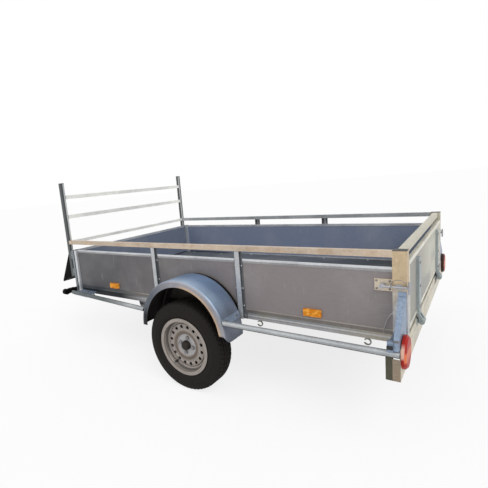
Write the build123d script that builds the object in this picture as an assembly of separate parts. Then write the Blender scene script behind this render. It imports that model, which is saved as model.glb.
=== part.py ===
from build123d import *
import math
import os

# Single-axle utility trailer with a panelled box, rail, headboard and drop tailgate.
# Millimetres. +X towards the coupling, +Y to the left, +Z up, ground at z = 0.

# ---- overall ----
box_length = 2500        # rear posts' rear face to front panel's front face
box_width = 1520         # over the outer faces of the corner posts
nose_reach = 1110        # front panel to the coupling's nose
hinge_setback = 22       # hinge pins behind the posts' rear faces
knuckle_radius = 13
hinge_reach = hinge_setback + knuckle_radius
half_width = box_width / 2
rear_x = -(box_length + nose_reach - hinge_reach) / 2
front_x = rear_x + box_length
nose_x = front_x + nose_reach
seat = 0.3               # clearance between pieces that seat on curved or moving faces

# ---- levels ----
beam_bottom = 455
beam_height = 38
beam_top = beam_bottom + beam_height
floor_thickness = 15
floor_top = beam_top + floor_thickness
panel_top = 812
rail_size = 30
rail_top = 893
rail_bottom = rail_top - rail_size

# ---- sheet and section sizes ----
sheet = 3
upright_depth = 15
upright_face = 30        # hat section: raised face and the flange on each side of it
upright_flange = 14
upright_wall = 2
upright_foot = 10        # how much wider each flange is at the foot
skin_y = half_width - upright_depth      # outer face of beams and edge profiles
edge_height = 20
edge_wall = 2
panel_thickness = 15
edge_depth = panel_thickness + 2 * edge_wall
post_length = 60
post_depth = 50
post_seam = (26, 33)     # shadow line down a front post, measured back from its front face
foot_edge_height = 25

# ---- wheels and axle ----
axle_x = rear_x + 1205
tyre_radius = 281
tyre_width = 146
rim_radius = 182.5
rim_width = 125
rim_outer_y = half_width + 170           # outer flange of the rim
wheel_y = rim_outer_y - rim_width / 2
bolt_circle_radius = 50
bolt_hole_radius = 7
vent_count = 16
vent_radius = 11
stub_radius = 15
running_clearance = 0.05

# ---- outboard parts ----
side_tube_radius = 15
side_tube_y = half_width + 180
side_tube_z = 490
guard_x = axle_x - 15                    # centre of the mudguards' arc
guard_z = 385
guard_radius = 326
guard_lip = 42
guard_outer_y = half_width + 195
guard_wall = 3
guard_corner = 60                        # rounding of the rear outer corner
tube_strap = 3                           # plate between a mudguard and the tube's end

# ---- headboard ----
head_size = 30
head_wall = 3
head_gap = 16
head_top = 1365
head_bottom = 585
head_bars = [             # level of each bar's centre, bar height
    (head_top - 111, 30),
    (head_top - 274, 30),
    (rail_top - rail_size / 2, 25),
]

# ---- tailgate ----
tailgate_bottom = 515
tailgate_top = 838
tailgate_clearance = 5
tailgate_half = half_width - post_depth - tailgate_clearance
hinge_x = rear_x - hinge_setback
hinge_z = 470
hinge_y = tailgate_half - 255
pin_radius = 6
strap_width = 60
strap_depth = 12

# ---- drawbar and jockey wheel ----
drawbar_size = 70
drawbar_wall = 4
drawbar_rear_x = rear_x + 1080
drawbar_top = beam_bottom
ball_radius = 25
jockey_x = front_x + 105
jockey_tube_radius = 30
leg_radius = 24
jockey_y = -(drawbar_size / 2 + 16 + jockey_tube_radius)
jockey_wheel_radius = 100
jockey_wheel_width = 50
jockey_trail = 45
fork_top = 222
jockey_tube_bottom = 402
jockey_tube_top = 695
jockey_lift = 150


def block(x, y, z):
    """A bar or plate between three (low, high) pairs."""
    size = Box(x[1] - x[0], y[1] - y[0], z[1] - z[0])
    return Pos((x[0] + x[1]) / 2, (y[0] + y[1]) / 2, (z[0] + z[1]) / 2) * size


def tube_along(axis, x, y, z, wall):
    """A rectangular hollow section whose open ends face along axis."""
    spans = {"x": x, "y": y, "z": z}
    inner = {}
    for name, span in spans.items():
        grow = wall if name == axis else -wall
        inner[name] = (span[0] - grow, span[1] + grow)
    return block(x, y, z) - block(inner["x"], inner["y"], inner["z"])


def along_x(points, x):
    """A (y, z) outline pushed along X."""
    face = make_face(Polyline(*[(x[0], p[0], p[1]) for p in points], close=True))
    return extrude(face, amount=x[1] - x[0], dir=(1, 0, 0))


def along_y(points, y):
    """An (x, z) outline pushed along Y."""
    face = make_face(Polyline(*[(p[0], y[0], p[1]) for p in points], close=True))
    return extrude(face, amount=y[1] - y[0], dir=(0, 1, 0))


def along_z(points, z):
    """An (x, y) outline pushed up along Z."""
    face = make_face(Polyline(*[(p[0], p[1], z[0]) for p in points], close=True))
    return extrude(face, amount=z[1] - z[0], dir=(0, 0, 1))


def rod(start, end, radius):
    """A round bar between two points."""
    line = Line(start, end)
    return sweep(Plane(origin=line @ 0, z_dir=line % 0) * Circle(radius), path=line)


def ring(centre, axis, radius, bore, length):
    """A sleeve centred on a point, its axis along X, Y or Z."""
    turn = {"x": Rot(0, 90, 0), "y": Rot(90, 0, 0), "z": Rot(0, 0, 0)}[axis]
    body = Cylinder(radius, length)
    if bore > 0:
        body -= Cylinder(bore, length + 2)
    return Pos(*centre) * turn * body


def both_sides(left):
    """The left piece and its mirror image on the right, as one group."""
    return Compound([*left.solids(), *mirror(left, about=Plane.XZ).solids()])


def right_of(left):
    return mirror(left, about=Plane.XZ)


nodes = {}

# ---- chassis frame ----
beam_section = [          # C-section, open inwards: (y, z)
    (skin_y, beam_bottom),
    (skin_y, beam_top),
    (skin_y - 40, beam_top),
    (skin_y - 40, beam_top - sheet),
    (skin_y - sheet, beam_top - sheet),
    (skin_y - sheet, beam_bottom + sheet),
    (skin_y - 40, beam_bottom + sheet),
    (skin_y - 40, beam_bottom),
]
beam_ends = (rear_x + post_length, front_x - post_length)
side_beam = along_x(beam_section, beam_ends)
nodes["side_beams"] = both_sides(side_beam)


def cross_member(x, facing, half_length, depth=40):
    """A C-section across the frame, its back at x and its flanges pointing along facing."""
    far = x + facing * depth
    back = x + facing * sheet
    outline = [
        (x, beam_bottom),
        (x, beam_top),
        (far, beam_top),
        (far, beam_top - sheet),
        (back, beam_top - sheet),
        (back, beam_bottom + sheet),
        (far, beam_bottom + sheet),
        (far, beam_bottom),
    ]
    return along_y(outline, (-half_length, half_length))


inner_half = skin_y - 40 - seat
end_half = half_width - post_depth
middle_members_x = [rear_x + share * box_length for share in (0.22, 0.44, 0.60, 0.80)]
nodes["rear_cross_beam"] = cross_member(rear_x, 1, end_half)
nodes["front_cross_beam"] = cross_member(front_x, -1, end_half)
nodes["floor_bearers"] = Compound(
    [solid for x in middle_members_x for solid in cross_member(x, 1, inner_half).solids()]
)

# ---- floor and side panels ----
floor_half = skin_y - edge_depth - 1
nodes["floor"] = block(
    (rear_x + 8, front_x - edge_depth - 1),
    (-floor_half, floor_half),
    (beam_top, floor_top),
) - Compound([
    *block((rear_x, rear_x + post_length + 1), (end_half - 1, half_width), (0, 600)).solids(),
    *block((rear_x, rear_x + post_length + 1), (-half_width, 1 - end_half), (0, 600)).solids(),
    *block((front_x - post_length - 1, front_x), (end_half - 1, half_width), (0, 600)).solids(),
    *block((front_x - post_length - 1, front_x), (-half_width, 1 - end_half), (0, 600)).solids(),
])

edge_y = (skin_y - edge_depth, skin_y)
panel_y = (edge_y[0] + edge_wall, edge_y[1] - edge_wall)
panel_x = (rear_x + post_length, front_x - post_length)
panel_z = (beam_top + edge_wall, panel_top - edge_wall)
side_panel = block(panel_x, panel_y, panel_z)
nodes["side_panel_left"] = side_panel
nodes["side_panel_right"] = right_of(side_panel)

# Folded edging wraps each side panel's top and foot.
edging = block(panel_x, edge_y, (panel_top - edge_height, panel_top))
edging += block(panel_x, edge_y, (beam_top, beam_top + foot_edge_height))
edging -= block((panel_x[0] - 1, panel_x[1] + 1), panel_y, panel_z)
nodes["side_edging"] = both_sides(edging)

# ---- posts, uprights and rails ----
rear_post = tube_along(
    "z",
    (rear_x, rear_x + post_length),
    (half_width - post_depth, half_width),
    (beam_bottom, rail_top),
    sheet,
)
nodes["rear_posts"] = both_sides(rear_post)
post_lid = block(
    (rear_x, rear_x + post_length),
    (half_width - post_depth, half_width),
    (rail_top, rail_top + 2),
)
front_post = tube_along(
    "z",
    (front_x - post_length, front_x),
    (half_width - post_depth, half_width),
    (beam_bottom, panel_top),
    sheet,
)
front_post -= block(
    (front_x - post_seam[1], front_x - post_seam[0]),
    (half_width - 1.5, half_width + 1),
    (beam_bottom - 1, panel_top + 1),
)
nodes["front_posts"] = both_sides(front_post)

upright_shares = [0.62, 0.35]      # places along the box, from the rear
uprights = []
for share in upright_shares:
    x = rear_x + share * box_length
    half_face = upright_face / 2
    half_hat = half_face + upright_flange - upright_wall
    hat_section = [
        (x - half_hat, skin_y),
        (x - half_face + upright_wall, skin_y),
        (x - half_face + upright_wall, half_width - upright_wall),
        (x + half_face - upright_wall, half_width - upright_wall),
        (x + half_face - upright_wall, skin_y),
        (x + half_hat, skin_y),
        (x + half_hat, skin_y + upright_wall),
        (x + half_face, skin_y + upright_wall),
        (x + half_face, half_width),
        (x - half_face, half_width),
        (x - half_face, skin_y + upright_wall),
        (x - half_hat, skin_y + upright_wall),
    ]
    upright = along_z(hat_section, (beam_bottom, rail_bottom))
    for side in (-1, 1):
        near = x + side * half_face
        far = x + side * (half_hat + upright_foot)
        span = (min(near, far), max(near, far))
        upright += block(span, (skin_y, skin_y + upright_wall), (beam_bottom, beam_top))
    uprights += upright.solids()
nodes["uprights"] = both_sides(Compound(uprights))

head_x = (front_x + head_gap, front_x + head_gap + head_size)
rail_x = (rear_x + post_length, head_x[0])
rail_y = (half_width - rail_size, half_width)
top_rail = tube_along("x", rail_x, rail_y, (rail_bottom, rail_top), 2)
nodes["top_rails"] = both_sides(top_rail)

crossbar_x = (rear_x + 15, rear_x + 15 + rail_size)
nodes["rear_crossbar"] = tube_along(
    "y",
    crossbar_x,
    (-end_half, end_half),
    (rail_bottom, rail_top),
    2,
)

# ---- front panel ----
front_y = end_half
front_panel_x = (front_x - edge_wall - panel_thickness, front_x - edge_wall)
nodes["front_panel"] = block(front_panel_x, (-front_y, front_y), panel_z)
front_edge_x = (front_x - edge_depth, front_x)
front_top = block(front_edge_x, (-front_y, front_y), (panel_top - edge_height, panel_top))
front_top -= block(
    (front_edge_x[0] + edge_wall, front_edge_x[1] - edge_wall),
    (-front_y - 1, front_y + 1),
    (panel_top - edge_height - 1, panel_top - edge_wall),
)
front_foot = block(front_edge_x, (-front_y, front_y), (beam_top, beam_top + foot_edge_height))
front_foot -= block(
    (front_edge_x[0] + edge_wall, front_edge_x[1] - edge_wall),
    (-front_y - 1, front_y + 1),
    (beam_top + edge_wall, beam_top + foot_edge_height + 1),
)
nodes["front_edging"] = Compound([*front_top.solids(), *front_foot.solids()])

# ---- headboard ----
head_y = (half_width - head_size, half_width)
head_frame = Compound([])
left_leg = tube_along("z", head_x, head_y, (head_bottom, head_top), head_wall)
head_frame = left_leg + right_of(left_leg)
for level, height in head_bars:
    head_frame += tube_along(
        "y",
        head_x,
        (-head_y[0], head_y[0]),
        (level - height / 2, level + height / 2),
        2,
    )
nodes["headboard"] = head_frame
head_lid = block(head_x, head_y, (head_top, head_top + 6))
nodes["post_caps"] = both_sides(Compound([*post_lid.solids(), *head_lid.solids()]))

head_plate_z = [(head_bottom + 10, head_bottom + 70), (panel_top - 70, panel_top - 10)]
head_plates = [
    block((front_x, head_x[0]), (half_width - post_depth, half_width), z) for z in head_plate_z
]
nodes["headboard_plates"] = both_sides(Compound([s for p in head_plates for s in p.solids()]))

# ---- axle ----
arm_length = 150
axle_tube_x = axle_x + arm_length - 8
axle_tube_z = tyre_radius + 58
axle_tube_size = 60
axle_half = wheel_y - 227.5
axle_top = axle_tube_z + axle_tube_size / 2
nodes["axle_tube"] = tube_along(
    "y",
    (axle_tube_x - axle_tube_size / 2, axle_tube_x + axle_tube_size / 2),
    (-axle_half, axle_half),
    (axle_tube_z - axle_tube_size / 2, axle_top),
    5,
)
hanger_outline = [
    (axle_tube_x - 110, beam_bottom),
    (axle_tube_x + 110, beam_bottom),
    (axle_tube_x + 50, axle_top),
    (axle_tube_x - 50, axle_top),
]
hanger = along_y(hanger_outline, (skin_y - 44, skin_y - 36))
hanger_foot = block(
    (axle_tube_x - 50, axle_tube_x + 50), (axle_half - 110, skin_y - 36), (axle_top, axle_top + 6)
)
hanger_head = block(
    (axle_tube_x - 110, axle_tube_x + 110), (skin_y - 40, skin_y - 4), (beam_bottom - 6, beam_bottom)
)
nodes["axle_hangers"] = both_sides(hanger + hanger_foot + hanger_head)

arm_y = (axle_half, axle_half + 32)
arm_start = (axle_tube_x, axle_tube_z)
arm_end = (axle_x, tyre_radius)
arm_angle = math.degrees(math.atan2(arm_end[1] - arm_start[1], arm_end[0] - arm_start[0]))
arm_span = math.dist(arm_start, arm_end)
arm_face = make_hull(
    [
        *(Pos(0, 0) * Circle(axle_tube_size / 2 - 1)).edges(),
        *(Pos(arm_span, 0) * Circle(28)).edges(),
    ]
)
arm = extrude(arm_face, amount=arm_y[1] - arm_y[0])
arm = Pos(arm_start[0], arm_y[1], arm_start[1]) * Rot(90, 0, 0) * Rot(0, 0, arm_angle) * arm
stub_end = wheel_y + 4
stub = ring((axle_x, (arm_y[1] + stub_end) / 2, tyre_radius), "y", stub_radius, 0, stub_end - arm_y[1])
nodes["swing_arms"] = both_sides(arm + stub)

# ---- wheels ----
# Half-sections are drawn as (radius, offset along the axle from the wheel's middle plane).
disc_face = 20               # hub's mounting face, outboard of the middle plane


def spun(outline):
    """An outline of (radius, offset) turned about the left wheel's axle."""
    wire = Polyline(*[(p[0], 0, p[1]) for p in outline], close=True)
    solid = revolve(make_face(wire), axis=Axis.Z)
    return Pos(axle_x, wheel_y, tyre_radius) * Rot(-90, 0, 0) * solid


half_tyre = tyre_width / 2
tyre_outline = [
    (rim_radius - 16, 46),
    (rim_radius + 4, 58),
    (rim_radius + 20, half_tyre - 4),
    (rim_radius + 42, half_tyre),
    (rim_radius + 64, half_tyre - 4),
    (tyre_radius - 14, half_tyre - 10),
    (tyre_radius - 3, half_tyre - 20),
    (tyre_radius, half_tyre - 32),
]
groove_depth = 7
groove_half = 4
for groove_y in (25, 0, -25):
    tyre_outline += [
        (tyre_radius, groove_y + groove_half),
        (tyre_radius - groove_depth, groove_y + groove_half - 1.5),
        (tyre_radius - groove_depth, groove_y - groove_half + 1.5),
        (tyre_radius, groove_y - groove_half),
    ]
tyre_outline += [(r, -offset) for r, offset in reversed(tyre_outline[:8])]
tyre_outline += [(rim_radius - 24, -46), (rim_radius - 24, 46)]
tyre = spun(tyre_outline)
nodes["tyre_left"] = tyre
nodes["tyre_right"] = right_of(tyre)

half_rim = rim_width / 2
steel = 3
rim_outline = [
    (rim_radius, half_rim),
    (rim_radius, half_rim - steel),
    (rim_radius - 17 - seat, half_rim - steel - 4),
    (rim_radius - 17 - seat, 46),
    (rim_radius - 24 - seat, 46),
    (rim_radius - 24 - seat, -46),
    (rim_radius - 17 - seat, -46),
    (rim_radius - 17 - seat, steel + 4 - half_rim),
    (rim_radius, steel - half_rim),
    (rim_radius, -half_rim),
    (rim_radius - 21, -half_rim),
    (rim_radius - 21, -half_rim + 12),
    (rim_radius - 28, -38),
    (rim_radius - 28, -8),
    (rim_radius - 40, 0),
    (rim_radius - 40, 26),
    (rim_radius - 28, 32),
    (rim_radius - 28, 38),
    (rim_radius - 21, half_rim - 12),
    (rim_radius - 21, half_rim),
]
barrel = spun(rim_outline)
disc_outline = [
    (rim_radius - 40, 4),
    (rim_radius - 40, 22),
    (rim_radius - 46, 31),
    (rim_radius - 62, 34),
    (rim_radius - 74, 30),
    (rim_radius - 92, disc_face + 14),
    (rim_radius - 104, disc_face + 16),
    (rim_radius - 114, disc_face + steel + 1),
    (30, disc_face + steel + 1),
    (30, disc_face),
    (rim_radius - 112, disc_face),
    (rim_radius - 102, disc_face + 12),
    (rim_radius - 91, disc_face + 10),
    (rim_radius - 75, 26),
    (rim_radius - 62, 30),
    (rim_radius - 48, 27),
    (rim_radius - 43.5, 20),
    (rim_radius - 43.5, 4),
]
disc = spun(disc_outline)
rim = barrel + disc
vent_ring = rim_radius - 62
for index in range(vent_count):
    turn = math.radians(360 / vent_count * (index + 0.5))
    place = (
        axle_x + vent_ring * math.cos(turn),
        wheel_y + 30,
        tyre_radius + vent_ring * math.sin(turn),
    )
    rim -= ring(place, "y", vent_radius, 0, 24)
for index in range(4):
    turn = math.radians(90 * index + 12)
    place = (
        axle_x + bolt_circle_radius * math.cos(turn),
        wheel_y + disc_face,
        tyre_radius + bolt_circle_radius * math.sin(turn),
    )
    rim -= ring(place, "y", bolt_hole_radius, 0, 20)
nodes["rim_left"] = rim
nodes["rim_right"] = right_of(rim)

hub_inner = arm_y[1] - wheel_y + 6
drum_radius = 112
hub_outline = [
    (stub_radius + running_clearance, hub_inner),
    (40, hub_inner),
    (40, -38),
    (drum_radius, -38),
    (drum_radius, 2),
    (drum_radius - 6, 6),
    (66, 8),
    (66, disc_face),
    (29.7, disc_face),
    (29.7, disc_face + 16),
    (25, disc_face + 30),
    (0, disc_face + 34),
    (0, stub_end - wheel_y + 3),
    (stub_radius + running_clearance, stub_end - wheel_y + 3),
]
hub = spun(hub_outline)
for index in range(4):
    turn = math.radians(90 * index + 12)
    place = (
        axle_x + bolt_circle_radius * math.cos(turn),
        wheel_y + disc_face + 2,
        tyre_radius + bolt_circle_radius * math.sin(turn),
    )
    hub += ring(place, "y", bolt_hole_radius - 1, 0, 26)
nodes["hub_left"] = hub
nodes["hub_right"] = right_of(hub)

# ---- mudguards ----
guard_inner_y = half_width
shoulder = 12
guard_section = [         # (offset along Y, radius), outside then back along the inside
    (guard_outer_y, guard_radius - guard_lip),
    (guard_outer_y, guard_radius - shoulder),
    (guard_outer_y - shoulder * 0.3, guard_radius - shoulder * 0.3),
    (guard_outer_y - shoulder, guard_radius),
    (guard_inner_y + shoulder, guard_radius),
    (guard_inner_y + shoulder * 0.3, guard_radius - shoulder * 0.3),
    (guard_inner_y, guard_radius - shoulder),
    (guard_inner_y, guard_radius - guard_lip),
    (guard_inner_y + guard_wall, guard_radius - guard_lip),
    (guard_inner_y + guard_wall, guard_radius - shoulder),
    (guard_inner_y + shoulder * 0.3 + 2, guard_radius - shoulder * 0.3 - 2),
    (guard_inner_y + shoulder, guard_radius - guard_wall),
    (guard_outer_y - shoulder, guard_radius - guard_wall),
    (guard_outer_y - shoulder * 0.3 - 2, guard_radius - shoulder * 0.3 - 2),
    (guard_outer_y - guard_wall, guard_radius - shoulder),
    (guard_outer_y - guard_wall, guard_radius - guard_lip),
]
guard_start = 1          # front end of the arc, degrees up from the +X side
guard_end = 183          # rear end of the arc
guard_wire = Polyline(*[(r, y, 0) for y, r in guard_section], close=True)
guard_spin = revolve(make_face(guard_wire), axis=Axis.Y, revolution_arc=guard_end - guard_start)
guard = Pos(guard_x, 0, guard_z) * Rot(0, -guard_end, 0) * guard_spin
guard_foot = guard_z + guard_radius * math.sin(math.radians(guard_end))
corner_cut = block(
    (guard_x - guard_radius - 5, guard_x - guard_radius + guard_lip + 5),
    (guard_outer_y - guard_corner, guard_outer_y + 1),
    (guard_foot - 1, guard_foot + guard_corner),
)
corner_cut -= ring(
    (guard_x - guard_radius, guard_outer_y - guard_corner, guard_foot + guard_corner),
    "x",
    guard_corner,
    0,
    200,
)
guard -= corner_cut
nodes["mudguard_left"] = guard
nodes["mudguard_right"] = right_of(guard)


crest_stay = block(
    (guard_x - 25, guard_x + 25),
    (skin_y - edge_wall, half_width),
    (guard_z + guard_radius - guard_lip + 2, guard_z + guard_radius - shoulder - 4),
)
beam_stay_x = guard_x + guard_radius - guard_lip
beam_stay = block(
    (beam_stay_x - 10, beam_stay_x + 18),
    (skin_y, half_width),
    (beam_bottom + 6, beam_top - 6),
)
nodes["mudguard_stays"] = both_sides(Compound([*crest_stay.solids(), *beam_stay.solids()]))

# ---- side tubes ----
tube_rear = (rear_x + 2, side_tube_y, side_tube_z)
tube_front = (front_x - 100, half_width + 102, side_tube_z)
strap_radius = guard_radius + seat + tube_strap
guard_cut = ring((guard_x, half_width, guard_z), "y", strap_radius + seat, 0, 600)
rear_run = rod(tube_rear, (guard_x, side_tube_y, side_tube_z), side_tube_radius)
rear_bore = rod(tube_rear, (guard_x, side_tube_y, side_tube_z), side_tube_radius - 2)
rear_run = rear_run - rear_bore - guard_cut
bend = (guard_x + guard_radius - 20, side_tube_y, side_tube_z)
front_run = rod(bend, tube_front, side_tube_radius) - rod(bend, tube_front, side_tube_radius - 2)
front_run = front_run - guard_cut
nodes["side_tubes"] = both_sides(Compound([*rear_run.solids(), *front_run.solids()]))

strap_half_height = 20
strap_level = math.degrees(math.asin((side_tube_z - guard_z) / guard_radius))
strap_sweep = math.degrees(strap_half_height / guard_radius)
strap_plan = [
    (guard_radius + seat, half_width + shoulder),
    (strap_radius, half_width + shoulder),
    (strap_radius, guard_outer_y - shoulder),
    (guard_radius + seat, guard_outer_y - shoulder),
]
strap_wire = Polyline(*[(p[0], p[1], 0) for p in strap_plan], close=True)
strap_arc = revolve(make_face(strap_wire), axis=Axis.Y, revolution_arc=2 * strap_sweep)
guard_straps = [
    Pos(guard_x, 0, guard_z) * Rot(0, -(angle + strap_sweep), 0) * strap_arc
    for angle in (strap_level, 180 - strap_level)
]
gusset_top = side_tube_z - side_tube_radius - seat
gusset = along_z(
    [
        (front_x - post_length - 5, skin_y),
        (front_x - post_length - 5, tube_front[1] - 40),
        (tube_front[0], tube_front[1]),
        (tube_front[0] - 200, tube_front[1] + 17),
        (tube_front[0] - 150, skin_y),
    ],
    (gusset_top - 4, gusset_top),
)
brackets = [*gusset.solids()]
for guard_strap in guard_straps:
    brackets += guard_strap.solids()
nodes["tube_brackets"] = both_sides(Compound(brackets))

# ---- rear corner arms and struts ----
arm_x = (rear_x + 25, rear_x + 49)
arm_z = (516, 531)
arm_y_out = (half_width, side_tube_y + 15)
cross_arm = tube_along("y", arm_x, arm_y_out, arm_z, 2)
saddle = block(arm_x, (side_tube_y - 12, side_tube_y + 12), (side_tube_z, arm_z[0]))
saddle -= ring((rear_x, side_tube_y, side_tube_z), "x", side_tube_radius + seat, 0, 400)
arm_lug = block(arm_x, (side_tube_y - 6, arm_y_out[1] - 2), (arm_z[1], arm_z[1] + 18))
nodes["cross_arms"] = both_sides(Compound([*(cross_arm + arm_lug).solids(), *saddle.solids()]))
nodes["arm_plugs"] = both_sides(block(arm_x, (arm_y_out[1], arm_y_out[1] + 8), arm_z))

board_half = side_tube_y + 5
strut_wall = 4
strut_top = 709
strut_bend = 556
strut_foot = side_tube_z + side_tube_radius + 2
strut_out = board_half + seat
strut_x = (rear_x + 3, rear_x + 38)
strut_outline = [
    (half_width, strut_top),
    (half_width + strut_wall, strut_top),
    (half_width + strut_wall, strut_top - 19),
    (strut_out + strut_wall, strut_bend),
    (strut_out + strut_wall, strut_foot),
    (strut_out, strut_foot),
    (strut_out, strut_bend - 2),
    (half_width, strut_top - 23),
]
strut = along_x(strut_outline, strut_x)
strut -= along_y(
    [
        (strut_x[1], strut_top + 1),
        (strut_x[1] + 20, strut_top + 1),
        (strut_x[1] + 20, strut_foot - 1),
        (arm_x[0] - 1, strut_foot - 1),
        (arm_x[0] - 1, strut_bend),
    ],
    (half_width - 10, strut_out + 20),
)
strut += along_x(
    [
        (half_width, strut_top - 24),
        (strut_out + 1, strut_bend - 1),
        (strut_out + 1, strut_foot),
        (half_width, strut_foot),
    ],
    (strut_x[0], strut_x[0] + 2),
)
nodes["corner_struts"] = both_sides(strut)

# ---- lamp board ----
board_x = (rear_x, rear_x + 30)
board_z = (372, 452)
wing_z = 512
board_sheet = 2
wing_y = half_width + 3
board_shape = [
    (-board_half, board_z[0]),
    (board_half, board_z[0]),
    (board_half, wing_z),
    (wing_y, wing_z),
    (wing_y, board_z[1]),
    (-wing_y, board_z[1]),
    (-wing_y, wing_z),
    (-board_half, wing_z),
]
board = along_x(board_shape, (board_x[0], board_x[0] + board_sheet))
board += block(board_x, (-board_half, board_half), (board_z[0], board_z[0] + board_sheet))
end_return = block(board_x, (board_half - board_sheet, board_half), (board_z[0], wing_z - 42))
board += end_return + right_of(end_return)
nodes["lamp_board"] = board

# Round lamps on the board's wings: a base and a domed lens.
lamp_radius = 73
lamp_y = half_width + 106
lamp_z = 476
lamp_depth = 20
tail_lamp = ring(
    (rear_x - seat - lamp_depth * 0.3, lamp_y, lamp_z), "x", lamp_radius, 0, lamp_depth * 0.6
)
tail_lamp += Pos(rear_x - seat - lamp_depth * 0.8, lamp_y, lamp_z) * Rot(0, -90, 0) * Cone(
    lamp_radius - 1, lamp_radius - 9, lamp_depth * 0.4
)
nodes["tail_lamps"] = both_sides(tail_lamp)
hanger_x = (board_x[1], board_x[1] + 27)
hanger_u = block(hanger_x, (side_tube_y - 15, board_half), (board_z[0], side_tube_z))
hanger_u -= block(
    (hanger_x[0] - 1, hanger_x[1] - 2),
    (side_tube_y - 13, board_half - 2),
    (board_z[0] - 1, side_tube_z - 30),
)
hanger_u -= ring((rear_x, side_tube_y, side_tube_z), "x", side_tube_radius + seat, 0, 400)
middle_z = (board_z[0] + board_sheet, beam_bottom)
middle_hanger = block((rear_x + board_sheet, rear_x + 34), (270, 276), middle_z)
hangers = Compound([*hanger_u.solids(), *middle_hanger.solids()])
nodes["board_hangers"] = both_sides(hangers)

# ---- tailgate ----
gate_x = (rear_x, rear_x + edge_depth)
gate_z = (tailgate_bottom, tailgate_top)
gate_y = (-tailgate_half, tailgate_half)
gate_inner_y = (edge_wall - tailgate_half, tailgate_half - edge_wall)
gate_inner_z = (tailgate_bottom + edge_wall, tailgate_top - edge_wall)
gate_panel_x = (gate_x[0] + edge_wall, gate_x[1] - edge_wall)
nodes["tailgate_panel"] = block(gate_panel_x, gate_inner_y, gate_inner_z)
gate_edging = block(gate_x, gate_y, gate_z)
gate_edging -= block(gate_panel_x, gate_inner_y, gate_inner_z)
gate_edging -= block(
    (gate_x[0] - 1, gate_x[1] + 1),
    (edge_height - tailgate_half, tailgate_half - edge_height),
    (tailgate_bottom + edge_height, tailgate_top - edge_height),
)
nodes["tailgate_edging"] = gate_edging

strap_y = (hinge_y - strap_width / 2, hinge_y + strap_width / 2)
strap_foot = 498
strap_head = tailgate_top - edge_height - 16
strap = block((rear_x - strap_depth, rear_x), strap_y, (strap_foot, strap_head))
strap += block(
    (rear_x, rear_x + edge_wall),
    strap_y,
    (tailgate_bottom + edge_height + seat, strap_head),
)
eye_offset = 20
eye_length = 16
for side in (-1, 1):
    y = hinge_y + side * eye_offset
    eye_y = (y - eye_length / 2, y + eye_length / 2)
    link_outline = [
        (hinge_x - knuckle_radius, hinge_z),
        (rear_x - strap_depth, strap_foot + 14),
        (rear_x, strap_foot + 14),
        (rear_x, strap_foot),
        (rear_x - 9.5, hinge_z + 20),
        (rear_x - 9.5, hinge_z),
    ]
    strap += along_y(link_outline, eye_y)
    strap += ring((hinge_x, y, hinge_z), "y", knuckle_radius, 0, eye_length)
strap -= ring((hinge_x, hinge_y, hinge_z), "y", pin_radius + running_clearance, 0, 100)
nodes["tailgate_straps"] = both_sides(strap)

ear = along_y(
    [
        (hinge_x, hinge_z - knuckle_radius),
        (rear_x, hinge_z - knuckle_radius),
        (rear_x, hinge_z + knuckle_radius),
        (hinge_x, hinge_z + knuckle_radius),
    ],
    (hinge_y - 10, hinge_y + 10),
)
ear += ring((hinge_x, hinge_y, hinge_z), "y", knuckle_radius, 0, 20)
ear += ring((hinge_x, hinge_y, hinge_z), "y", pin_radius, 0, 64)
ear += block((rear_x - 4, rear_x), (hinge_y - 40, hinge_y + 40), (beam_bottom + 2, hinge_z + 18))
nodes["hinge_brackets"] = both_sides(ear)

# ---- tailgate latches ----
latch_z = 731
lever_y = half_width + 12
latch = block((rear_x + 63, rear_x + 138), (skin_y - edge_wall, skin_y + 3), (latch_z - 28, latch_z + 28))
latch += ring((rear_x + 102, skin_y + 16, latch_z), "y", 12, 0, 28)
latch += rod((rear_x + 102, lever_y, latch_z), (rear_x - 10, lever_y, latch_z), 5)
latch += block((rear_x + 20, rear_x + 46), (half_width, half_width + 8), (latch_z - 11, latch_z + 11))
latch += rod((rear_x - 10, lever_y, latch_z - 30), (rear_x - 10, lever_y, latch_z + 28), 5)
nodes["latches"] = both_sides(latch)

# ---- drawbar and coupling ----
coupling_length = 250
drawbar_z = (drawbar_top - drawbar_size, drawbar_top)
drawbar_half = drawbar_size / 2
drawbar_front_x = nose_x - 150
nodes["drawbar"] = tube_along(
    "x",
    (drawbar_rear_x, drawbar_front_x),
    (-drawbar_half, drawbar_half),
    drawbar_z,
    drawbar_wall,
)
clamp_outline = [
    (-drawbar_half - 60, beam_bottom),
    (-drawbar_half - 60, beam_bottom - 5),
    (-drawbar_half - 5, beam_bottom - 5),
    (-drawbar_half - 5, drawbar_z[0] - 5),
    (drawbar_half + 5, drawbar_z[0] - 5),
    (drawbar_half + 5, beam_bottom - 5),
    (drawbar_half + 60, beam_bottom - 5),
    (drawbar_half + 60, beam_bottom),
    (drawbar_half, beam_bottom),
    (drawbar_half, drawbar_z[0]),
    (-drawbar_half, drawbar_z[0]),
    (-drawbar_half, beam_bottom),
]
clamp_places = [front_x - 40, middle_members_x[1]]
clamps = [along_x(clamp_outline, (x, x + 40)) for x in clamp_places]
nodes["drawbar_clamps"] = Compound([s for c in clamps for s in c.solids()])

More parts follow.
